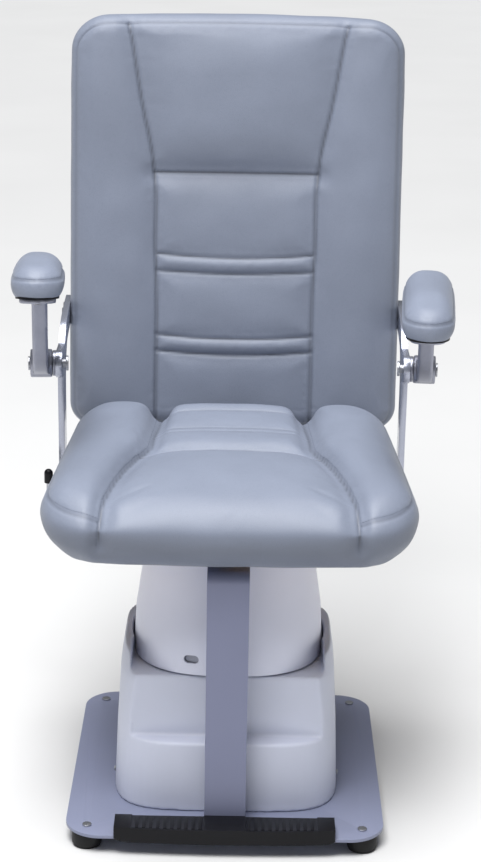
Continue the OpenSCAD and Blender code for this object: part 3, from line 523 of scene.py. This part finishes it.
def read_attribute(mesh, name):
    values = np.zeros(len(mesh.vertices), np.float32)
    mesh.attributes[name].data.foreach_get("value", values)
    return values.astype(float)


def coordinates(mesh):
    co = np.zeros(len(mesh.vertices) * 3)
    mesh.vertices.foreach_get("co", co)
    return co.reshape(-1, 3)


def normals(mesh):
    out = np.zeros(len(mesh.vertices) * 3)
    mesh.vertex_normals.foreach_get("vector", out)
    return out.reshape(-1, 3)


def write(mesh, co):
    mesh.vertices.foreach_set("co", co.ravel())
    mesh.update()


def inflate(piece, pinned, limit, pressure=4.0, frames=20):
    """Cloth pressure swells the cover between its pinned seams; no point moves past limit."""
    group = piece.vertex_groups.new(name="pin")
    for index in np.nonzero(pinned > 0.01)[0]:
        group.add([int(index)], float(pinned[index]), "REPLACE")
    cloth = piece.modifiers.new("cloth", "CLOTH")
    s = cloth.settings
    s.quality = 5
    s.mass = 0.25
    s.tension_stiffness = s.compression_stiffness = 12
    s.shear_stiffness = 4
    s.bending_stiffness = 0.3
    s.use_pressure = True
    s.uniform_pressure_force = pressure
    s.vertex_group_mass = "pin"
    s.effector_weights.gravity = 0
    cloth.collision_settings.use_collision = False
    cloth.point_cache.frame_start, cloth.point_cache.frame_end = 1, frames
    for at in range(1, frames + 1):
        SCENE.frame_set(at)
    graph = bpy.context.evaluated_depsgraph_get()
    swollen = coordinates(piece.evaluated_get(graph).data)
    piece.modifiers.remove(cloth)
    piece.vertex_groups.remove(group)
    SCENE.frame_set(1)
    start = coordinates(piece.data)
    move = swollen - start
    far = np.linalg.norm(move, axis=1, keepdims=True)
    write(piece.data, start + move * limit / (limit + far))


def upholster(name, slab, shape, to_world, seams, body, slot, nodes, stitches,
              limit=0.008, ends=(-400, -390), painted_side_shade=0.0):
    """Turns a slab into a finished cushion.

    shape(points, inside) gives the stuffed form.
    The seams fade out between the two ends; painted shade darkens the sewn grooves and, by the given share, the
    sides towards the floor.
    """
    points = shape(slab.points.copy(), slab.inside)
    world = np.c_[points * MM, np.ones(len(points))] @ np.array(to_world).T
    mesh = bpy.data.meshes.new(name)
    mesh.from_pydata(world[:, :3].tolist(), [], slab.faces)
    attribute(mesh, "flat_u", slab.flat[:, 0])
    attribute(mesh, "flat_v", slab.flat[:, 1])
    attribute(mesh, "inside", slab.inside)
    piece = add_piece(name, mesh, FINISH[slot], body)

    def seam_distance(line, flat, inside):
        return np.abs(inside - line) if np.isscalar(line) else distance_to(line, flat)

    valley = np.zeros(len(points))
    near = np.full(len(points), 1e9)
    for line, depth, width, _ in seams:
        d = seam_distance(line, slab.flat, slab.inside)
        near = np.minimum(near, d)
        valley = np.maximum(valley, depth * gauss(d, width) * smooth_step(slab.inside, *ends))
    write(mesh, coordinates(mesh) - normals(mesh) * (valley * MM)[:, None])
    held = np.maximum(gauss(near, 5) > 0.5, slab.inside < -0.62 * slab.thick).astype(float)
    inflate(piece, held, limit)
    fine = piece.modifiers.new("fine", "SUBSURF")
    fine.levels = fine.render_levels = 1
    mesh = bake_modifiers(piece)
    flat = np.c_[read_attribute(mesh, "flat_u"), read_attribute(mesh, "flat_v")]
    inside = read_attribute(mesh, "inside")
    co, out = coordinates(mesh), normals(mesh)
    lift = np.zeros(len(co))
    near = np.full(len(co), 1e9)
    painted_shade = np.zeros(len(co))
    fade = smooth_step(inside, *ends)  # seams die out underneath
    for line, _, _, groove in seams:
        d = seam_distance(line, flat, inside)
        near = np.minimum(near, d)
        # a sewn groove with a small roll of leather on either side of it, and painted shade in the groove
        groove = groove * fade
        lift += groove * (-gauss(d, 2.2) + 0.1 * gauss(d - 5.5, 3))
        painted_shade = np.maximum(painted_shade, gauss(d, 2.0) * np.clip(groove / 3, 0, 1))
    pull = np.array([noise.noise(Vector((a * 0.11, b * 0.11, 3.7))) for a, b in flat])
    slow = np.array([noise.noise(Vector((a * 0.016, b * 0.016, 9.1))) for a, b in flat])
    lift += 0.5 * pull * gauss(near - 8, 7) + 1.2 * slow * smooth_step(near, 8, 40)
    write(mesh, co + out * (lift * MM)[:, None])
    # painted shade for the leather: the seam grooves, and the sides darker towards the floor
    attribute(mesh, "painted_shade", np.maximum(painted_shade, painted_side_shade * smooth_step(-inside, 0, 70)))
    for name_of in ("flat_u", "flat_v", "inside"):
        mesh.attributes.remove(mesh.attributes[name_of])
    smooth_all(mesh)
    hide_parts(*nodes)
    if stitches:
        stitch(name + "_stitching", mesh, flat, inside, stitches, body)
    return piece


def rim_line(slab, inside, step=12):
    """A closed line on the flat cover at one distance inside the outline."""
    line = []
    for sv, su in ((-1, 1), (1, 1), (1, -1), (-1, -1)):
        r = slab.corners[0] if sv < 0 else slab.corners[1]
        first = {(-1, 1): -90, (1, 1): 0, (1, -1): 90, (-1, -1): 180}[(sv, su)]
        for k in range(step + 1):
            angle = math.radians(first + 90 * k / step)
            line.append((
                su * (slab.half_w - r) + (r - inside) * math.cos(angle),
                sv * (slab.half_l - r) + (r - inside) * math.sin(angle),
            ))
    return np.array(line + line[:1])


def join_rings(bm, rings):
    for one, two in zip(rings, rings[1:]):
        n = len(one)
        for k in range(n):
            bm.faces.new((one[k], one[(k + 1) % n], two[(k + 1) % n], two[k]))


def closed_mesh(bm, name):
    bmesh.ops.recalc_face_normals(bm, faces=bm.faces)
    made = bpy.data.meshes.new(name)
    bm.to_mesh(made)
    bm.free()
    smooth_all(made)
    return made


def thread_dash(bm, a, b, up, radius):
    """One stitch from a to b: a six-sided thread with tapered ends, half sunk."""
    ahead = Vector(b - a)
    if ahead.length <= 1e-4:
        return
    across = ahead.cross(up).normalized()
    rows = []
    for share, size in ((0, 0.45), (0.18, 1), (0.82, 1), (1, 0.45)):
        middle = Vector(a) + ahead * share + up * radius * MM * (0.15 + 0.5 * (size == 1))
        rows.append([
            bm.verts.new(middle + (across * math.cos(t) + up * math.sin(t)) * radius * MM * size)
            for t in (k * math.pi / 3 for k in range(6))
        ])
    join_rings(bm, rows)
    bm.faces.new(rows[0][::-1])
    bm.faces.new(rows[-1])


def stitch(name, mesh, flat, inside, lines, body, pitch=4.6, length=3.2, radius=0.3):
    """Thread dashes laid along lines of the flat cover."""
    shown = np.nonzero(inside > -90)[0]
    tree = kdtree.KDTree(len(shown))
    co, out = coordinates(mesh), normals(mesh)
    for k, index in enumerate(shown):
        tree.insert((flat[index, 0], flat[index, 1], 0), k)
    tree.balance()

    def on_cover(uv):
        found = tree.find_n((uv[0], uv[1], 0), 4)
        weights = np.array([1 / (d + 0.05) for _, _, d in found])
        which = shown[[k for _, k, _ in found]]
        weights /= weights.sum()
        return weights @ co[which], weights @ out[which]

    bm = bmesh.new()
    for line in lines:
        steps = np.linalg.norm(np.diff(line, axis=0), axis=1)
        along = np.r_[0, np.cumsum(steps)]
        at = 2.0
        while at + length < along[-1]:
            (a, na), (b, nb) = [
                on_cover([np.interp(s, along, line[:, 0]), np.interp(s, along, line[:, 1])])
                for s in (at, at + length)
            ]
            thread_dash(bm, a, b, Vector(na + nb).normalized(), radius)
            at += pitch
    return add_piece(name, closed_mesh(bm, name), THREAD, body)


def offset(line, by):
    """A line beside another, by millimetres to its left."""
    ahead = np.gradient(line, axis=0)
    ahead /= np.linalg.norm(ahead, axis=1, keepdims=True)
    return line + by * np.c_[-ahead[:, 1], ahead[:, 0]]


def mirrored(lines):
    return lines + [line * (-1, 1) for line in lines]


# ------------------------------------------------------------------ seat


def make_seat():
    lo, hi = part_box("seat_cushion")
    half_w, half_l = (hi.x - lo.x) / 2 / MM, (hi.y - lo.y) / 2 / MM
    thick = (hi.z - lo.z) / MM
    middle = Vector(((lo.x + hi.x) / 2, (lo.y + hi.y) / 2, hi.z))
    shift = (AXIS.y - middle.y) / MM  # seam places are given from the swivel axis
    slab = SeatSlab(
        half_w, half_l, thick, corners=(92, 84), top_round=44, low_round=40, step=6.0
    )

    def at(*points):
        return [(u, v + shift) for u, v in points]

    front = -half_l
    side = spline(at((128, 268), (127, 190), (127, 60), (131, 8), (146, -40), (163, -110), (175, -190))
                  + [(181, front + 4), (184, front - 40), (187, front - 96)])
    seams = [Seam(line, 12, 16, 3.4) for line in mirrored([side])]
    for v, depth, groove in ((196, 5, 2.0), (106, 4, 2.0), (88, 4, 2.0)):
        channel = spline(at((-124, v - 3), (-60, v + 1), (0, v + 2), (60, v + 1), (124, v - 3)))
        seams.append(Seam(channel, depth, 11, groove))
    pad_front = at((-138, -16), (-90, 2), (-40, 8), (0, 9), (40, 8), (90, 2), (138, -16))
    seams.append(Seam(spline(pad_front), 10, 13, 3.0))
    rim = rim_line(slab, -4)[:-1]
    right_rim = rim[(rim[:, 0] > 178) & (rim[:, 1] < half_l - 80)]
    seams += [Seam(line, 1.5, 6, 1.6) for line in mirrored([right_rim])]

    def shape(p, inside):
        u, v, w = p[:, 0].copy(), p[:, 1].copy(), p[:, 2].copy()
        y = v - shift
        top = 1 - smooth_step(w, 0, 0.8 * thick)
        seam_at = np.interp(-y, [-260, -8, 40, 110, 190, 260], [128, 131, 146, 163, 175, 182])
        outer = np.clip((np.abs(u) - seam_at) / (half_w - seam_at), 0, 1)
        inner_at = np.clip(np.abs(u) / seam_at, 0, 1)
        # the two side bolsters, the front pad, the raised rear pad, and the front's fall
        hump = np.sin(np.pi * outer ** 0.8) ** 0.7
        bolster = hump * (9 + 9 * smooth_step(y, -190, -10) * (1 - smooth_step(y, 60, 200)))
        bolster += 4 * hump * smooth_step(y, 90, 190) - 8 * smooth_step(y, 205, 250) * (outer > 0)
        bolster *= smooth_step(y, -290, -150)
        pad = 12 * (1 - inner_at ** 3) * gauss(y + 96, 100) * (outer <= 0)
        rear = 11 * (1 - inner_at ** 4) * smooth_step(y, 4, 40) * (0.5 + 0.5 * smooth_step(y, 110, 215))
        fall = 13 * smooth_step(-y, 120, 275) ** 1.5
        notch = 11 * gauss(np.abs(u) - seam_at, 20) * smooth_step(y, 70, 215)
        w -= (bolster + pad + rear - fall - notch - 3) * top
        # the front swells forward, tucks under, and the plan widens a little towards it
        bulge = 6 * np.sin(np.pi * np.clip(w / thick, 0, 1)) * smooth_step(-inside, -6, 30)
        v -= bulge * smooth_step(-v, half_l - 70, half_l)
        u *= (267 - 0.062 * y) / half_w
        v -= 6 * (1 - (u / half_w) ** 2) * smooth_step(-v, half_l - 60, half_l)
        v += 16 * smooth_step(w, 0.35 * thick, thick) * smooth_step(-v, half_l - 60, half_l)
        w -= 6 * (np.abs(u) / half_w) ** 3 * smooth_step(w, 0.5 * thick, thick)
        return np.c_[u, v, np.minimum(w, thick)]

    to_world = Matrix.Translation(middle) @ Matrix.Diagonal((1, 1, -1, 1))
    rows = mirrored([offset(side, 3.4)]) + [right_rim + (0, 4), right_rim * (-1, 1) + (0, 4)]
    # painted shade: the seat's sides up to a quarter darker towards the floor
    upholster("seat_upholstery", slab, shape, to_world, seams, "seat", "leather",
              ["seat_cushion"], stitches=rows, limit=0.007, ends=(-84, -60), painted_side_shade=0.5)


# ------------------------------------------------------------------ back

LEAN = math.radians(8)


def make_back():
    lo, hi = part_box("back_cushion")
    dy, dz = hi.y - lo.y, hi.z - lo.z
    s, c = math.sin(LEAN), math.cos(LEAN)
    length = (dz * c - dy * s) / (c * c - s * s) / MM
    thick = (dy * c - dz * s) / (c * c - s * s) / MM
    half_w, half_l = (hi.x - lo.x) / 2 / MM, length / 2
    foot = Vector(((lo.x + hi.x) / 2, lo.y, lo.z + thick * MM * s))
    slab = Slab(
        half_w, half_l, thick, corners=(40, 58), top_round=30, low_round=8, step=6.0
    )

    def at(*points):
        return [(u, v - half_l) for u, v in points]

    top_seam = length - 5
    side = spline(at(
        (127, -6), (127, 90), (127, 218), (130, 300), (132, 421), (155, 541), (176, top_seam)
    ))
    seams = [Seam(line, 3.5, 14, 3.4) for line in mirrored([side])]

    def cross(s_at, reach, sag=0):
        return spline(at((-reach, s_at), (-reach / 2, s_at + sag * 0.75), (0, s_at + sag),
                         (reach / 2, s_at + sag * 0.75), (reach, s_at)))

    seams.append(Seam(cross(421, 131), 10, 19, 3.4))
    for s_at, bow in ((290, -5), (262, -4), (157, -5), (130, -6)):
        seams.append(Seam(cross(s_at, 126, bow), 5, 10, 2.6))
    edge = rim_line(slab, -2)
    edge[:, 1] -= 9 * smooth_step(edge[:, 1], half_l - 90, half_l - 20)
    seams.append(Seam(edge, 0.8, 7, 1.7))

    def shape(p, inside):
        u, v, w = p[:, 0].copy(), p[:, 1].copy(), p[:, 2].copy()
        along = v + half_l
        seam_at = np.interp(along, [0, 218, 300, 421, 541, 656], [127, 127, 131, 132, 155, 175])
        outer = np.clip((np.abs(u) - seam_at) / (half_w - seam_at), 0, 1)
        inner_at = np.clip(np.abs(u) / seam_at, 0, 1)
        top = 1 - smooth_step(w, 0, 0.75 * thick)
        # side bolsters, headrest, lumbar pad, the rolls between paired channels, the neck
        bolster = 8 * np.sin(np.pi * outer ** 0.9) ** 0.8
        head = 13 * (1 - inner_at ** 2.5) * smooth_step(along, 425, 480)
        head *= 1 - 0.6 * smooth_step(along, 580, 668)
        lumbar = 7 * (1 - inner_at ** 2.5) * gauss(along - 190, 160)
        bands = 3.5 * (1 - inner_at ** 4) * (gauss(along - 275, 12) + gauss(along - 143, 12))
        hollow = 5 * gauss(along - 420, 70) * (1 - outer)
        w -= (bolster + head + lumbar + bands - hollow - 7) * top
        side_bulge = 1.4 * np.sin(np.pi * np.clip(w / thick, 0, 1)) * smooth_step(-inside, -6, 16)
        u += np.sign(u) * side_bulge * smooth_step(np.abs(u), half_w - 50, half_w)
        v -= 6 * (u / half_w) ** 2 * smooth_step(v, half_l - 90, half_l)
        return np.c_[u, v, w]

    # u across, v up the slope, w backwards from the front face
    axes = Matrix(((1, 0, 0), (0, s, c), (0, c, -s))).to_4x4()
    to_world = Matrix.Translation(foot) @ axes @ Matrix.Translation((0, half_l * MM, 0))
    rows = mirrored([offset(side, -3.4)]) + [cross(424.4, 130)]
    upholster("back_upholstery", slab, shape, to_world, seams, "seat", "leather",
              ["back_cushion"], stitches=rows, limit=0.008)

    lo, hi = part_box("back_cover")
    rear_depth = ((hi.y - lo.y) * c - (hi.z - lo.z) * s) / (c * c - s * s) / MM
    cover = Slab(
        half_w - 1, half_l - 1, rear_depth, corners=(40, 58), top_round=5, low_round=12, step=7.0
    )

    def rear_shape(p, _):
        u, v, w = p[:, 0].copy(), p[:, 1].copy(), p[:, 2].copy()
        rear = smooth_step(w, 0.2 * rear_depth, rear_depth)
        w += 5 * rear * (1 - (u / half_w) ** 2) * (1 - (v / half_l) ** 2)
        v -= 6 * (u / half_w) ** 2 * smooth_step(v, half_l - 90, half_l)
        return np.c_[u, v, w]

    rear_to_world = to_world @ Matrix.Translation((0, 0, (thick + 0.6) * MM))
    edge = cover.side_length(12)
    rear_seams = [Seam(-edge - 14.0, 2, 8, 1.8)]
    upholster("back_cover_upholstery", cover, rear_shape, rear_to_world, rear_seams, "seat",
              "rear_leather", ["back_cover"], stitches=[], limit=0.003)

    line = rim_line(slab, 2.6)
    steps = np.r_[0, np.cumsum(np.linalg.norm(np.diff(line, axis=0), axis=1))]
    even = np.linspace(0, steps[-1], 260, endpoint=False)
    line = np.c_[np.interp(even, steps, line[:, 0]), np.interp(even, steps, line[:, 1])]
    line[:, 1] -= 6 * (line[:, 0] / half_w) ** 2 * smooth_step(line[:, 1], half_l - 90, half_l)
    piping("back_piping", line, thick + 0.3, 3.2, to_world, "seat")


def piping(name, line, depth, radius, to_world, body, sides=10):
    """A thin leather welt that closes a joint all round the outline."""
    ahead = np.roll(line, -1, axis=0) - np.roll(line, 1, axis=0)
    ahead /= np.linalg.norm(ahead, axis=1, keepdims=True)
    bm = bmesh.new()
    rings = []
    for (u, v), (a, b) in zip(line, ahead):
        ring = []
        for k in range(sides):
            turn = math.tau * k / sides
            out, deep = radius * math.cos(turn), radius * math.sin(turn)
            point = Vector((u + b * out, v - a * out, depth + deep))
            ring.append(bm.verts.new(to_world @ (point * MM)))
        rings.append(ring)
    join_rings(bm, rings + rings[:1])
    return add_piece(name, closed_mesh(bm, name), FINISH["leather"], body)


# ------------------------------------------------------------------ arms


ARM_LOW_ROUND = 19


def make_arm(side, joint, prefix):
    body = JOINTS[joint]["child"]
    pivot = Vector(JOINTS[joint]["pos_m"])
    axis = JOINTS[joint]["axis"]
    toe = math.asin(abs(axis[1])) * -side
    low = JOINTS[joint]["range_deg"][0] if "range_deg" in JOINTS[joint] else 0
    tilt = Matrix.Rotation(toe, 4, "Z") @ Matrix.Rotation(math.radians(low), 4, "X")
    to_arm = Matrix.Translation(pivot) @ tilt
    back = to_arm.inverted()
    co = np.array([back @ v.co for v in NODES[prefix + "_arm_pad"].data.vertices])
    lo, hi = co.min(0), co.max(0)
    half_w, half_l, thick = (hi[0] - lo[0]) / 2 / MM, (hi[1] - lo[1]) / 2 / MM, (hi[2] - lo[2]) / MM
    middle = Vector(((lo[0] + hi[0]) / 2, (lo[1] + hi[1]) / 2, hi[2]))
    slab = Slab(
        half_w, half_l, thick, corners=(half_w - 1, half_w - 3),
        top_round=28, low_round=ARM_LOW_ROUND, step=3.4
    )

    def shape(p, inside):
        u, v, w = p[:, 0].copy(), p[:, 1].copy(), p[:, 2].copy()
        top = 1 - smooth_step(w, 0, 0.8 * thick)
        crown = 5 * (1 - (u / half_w) ** 2) * (1 - (np.abs(v) / half_l) ** 3)
        nose = 11 * smooth_step(-v, 0.35 * half_l, 1.05 * half_l)
        nose += 5 * smooth_step(v, 0.6 * half_l, half_l)
        w -= (crown + 3.5 - nose) * top
        reach = slab.side_length(ARM_LOW_ROUND)
        # the lower lip reaches round the pad's base
        lip = smooth_step(inside, -reach - 10, -reach + 4) * smooth_step(w, 0.5 * thick, thick)
        w += lip * (2 + 5 * smooth_step(-v, -0.2 * half_l, half_l))
        full = np.sin(np.pi * np.clip(w / thick, 0, 1))
        grow = 1 + 0.03 * full * smooth_step(-inside, -4, 8)
        narrow = 1.02 - 0.09 * (np.abs(v) / half_l) ** 3
        return np.c_[u * grow * narrow, v, w]

    seams = [Seam(-12.0, 0.8, 6, 1.5)]
    to_world = to_arm @ Matrix.Translation(middle) @ Matrix.Diagonal((1, 1, -1, 1))
    upholster(prefix + "_arm_upholstery", slab, shape, to_world, seams, body, "pad_leather",
              [prefix + "_arm_pad"], stitches=[rim_line(slab, -8.8)], limit=0.003)
    restyled(prefix + "_arm_casting", voxel=0.0018, passes=7)


# ------------------------------------------------------------------ covers and metal


def bowed_tread(bm):
    """The tread's front bows forward a little and its lower corners are rounded."""
    lo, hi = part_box("footrest_tread")
    middle, half = (lo.x + hi.x) / 2, (hi.x - lo.x) / 2
    for k in range(-9, 10):
        share = math.copysign(1 - (1 - abs(k) / 9.4) ** 1.5, k)
        bmesh.ops.bisect_plane(
            bm, geom=bm.verts[:] + bm.edges[:] + bm.faces[:], dist=1e-5,
            plane_co=(middle + half * share, 0, 0), plane_no=(1, 0, 0),
        )
    for vert in bm.verts:
        across = abs(vert.co.x - middle) / half
        front = max(0.0, min(1.0, (hi.y - vert.co.y) / (hi.y - lo.y)))
        low = max(0.0, min(1.0, (hi.z - vert.co.z) / (hi.z - lo.z)))
        vert.co.y += 0.006 * across ** 2 * front - 0.001 * front
        vert.co.z += 0.005 * low * max(0.0, (across - 0.9) / 0.1) ** 2


def make_covers():
    restyled("lower_housing", voxel=0.0026, passes=5)
    # painted light: the hood's white plastic is given lighter than the housing's same plastic
    hood = moulded("hood_shell_painted_light", (0.74, 0.765, 0.9), 0.42, 0.1, 500)
    restyled("upper_cover", bevel=0.0016, material=hood)
    # painted shade: the plug, moulded like the hood, is given a dark colour to read as a shadowed ellipse
    plug = moulded("plug_painted_shade", (0.32, 0.335, 0.4), 0.5, 0.1, 500)
    restyled("access_plug", bevel=0.0012, material=plug)


BEVELS = {
    "base_plate": 0.0012, "footrest_bracket": 0.0012, "footrest_tread": 0.0012,
    "left_side_bar": 0.0018, "right_side_bar": 0.0018, "rubber_feet": 0.002,
    "left_hub_plate": 0.0012, "right_hub_plate": 0.0012, "carriage_plate": 0.001,
    "seat_plate": 0.001, "outer_column": 0.001, "power_inlet": 0.0008,
    "side_bar_bolts": 0.0006, "left_pivot_pin": 0.0008, "right_pivot_pin": 0.0008,
    "brake_lever_knob": 0.0006, "foot_screws": 0.0005, "bracket_bolts": 0.0005,
    "tread_screws": 0.0003, "housing_screws": 0.0004, "seat_board": 0.001,
}


def finish_nodes():
    """Every CAD node that still shows gets its slot's finish, and the machined ones a bevel."""
    for node, bevel in BEVELS.items():
        restyled(node, bevel=bevel, extra=bowed_tread if node == "footrest_tread" else None)
    for node, obj in NODES.items():
        material = FINISH[SLOT_OF[node]]
        if not obj.material_slots:
            obj.data.materials.append(material)
        for holder in obj.material_slots:
            holder.material = material


# ------------------------------------------------------------------ room


FLOOR_HALF = 24
FLOOR_TONES = (0.68, 0.70)
SKY_ENERGY, SKY_ANGLE = 3.3, 42
SKY_FROM = (-0.05, -0.02, 1)
# name, place from the swivel axis, energy, size, height aimed at
LAMPS = (
    ("key", (-0.5, -1.5, 3.3), 76, 1.3, 0.75),
    ("fill", (-0.6, -3.6, 0.9), 1, 2.0, 0.3),
)


def make_room():
    size = FLOOR_HALF
    mesh = bpy.data.meshes.new("floor")
    z = CAD_LO.z
    corners = [(-size, -size, z), (size, -size, z), (size, size, z), (-size, size, z)]
    mesh.from_pydata(corners, [], [(0, 1, 2, 3)])
    floor = bpy.data.objects.new("floor", mesh)
    SCENE.collection.objects.link(floor)
    s = Shader("floor")
    tone = s.noise(1.5, 3, 0.5)
    colour = s.ramp(tone, [(at, (t, t, t)) for at, t in zip((0.3, 0.7), FLOOR_TONES)])
    rough = s.span(tone, 0.7, 0.8)
    mesh.materials.append(s.set(Base_Color=colour, Roughness=rough, Specular_IOR_Level=0.2))

    world = bpy.data.worlds.new("room")
    world.use_nodes = True
    background = world.node_tree.nodes["Background"]
    background.inputs["Color"].default_value = (0.93, 0.96, 1.0, 1)
    background.inputs["Strength"].default_value = 0.17
    SCENE.world = world

    sun = bpy.data.lights.new("soft_sky", "SUN")
    sun.energy = SKY_ENERGY
    sun.angle = math.radians(SKY_ANGLE)
    lamp = bpy.data.objects.new("soft_sky", sun)
    SCENE.collection.objects.link(lamp)
    lamp.rotation_euler = Vector(SKY_FROM).to_track_quat("Z", "Y").to_euler()

    for name, place, energy, size, aim_z in LAMPS:
        area = bpy.data.lights.new(name, "AREA")
        area.energy = energy
        area.size = size
        lamp = bpy.data.objects.new(name, area)
        SCENE.collection.objects.link(lamp)
        lamp.location = Vector(place) + Vector((AXIS.x, AXIS.y, 0))
        aim = Vector((AXIS.x, AXIS.y, aim_z)) - lamp.location
        lamp.rotation_euler = aim.to_track_quat("-Z", "Y").to_euler()
    SCENE.view_settings.view_transform = "Standard"


make_camera()
make_room()
make_seat()
make_back()
make_arm(1, "right_arm_flip", "right")
make_arm(-1, "left_arm_flip", "left")
make_covers()
finish_nodes()
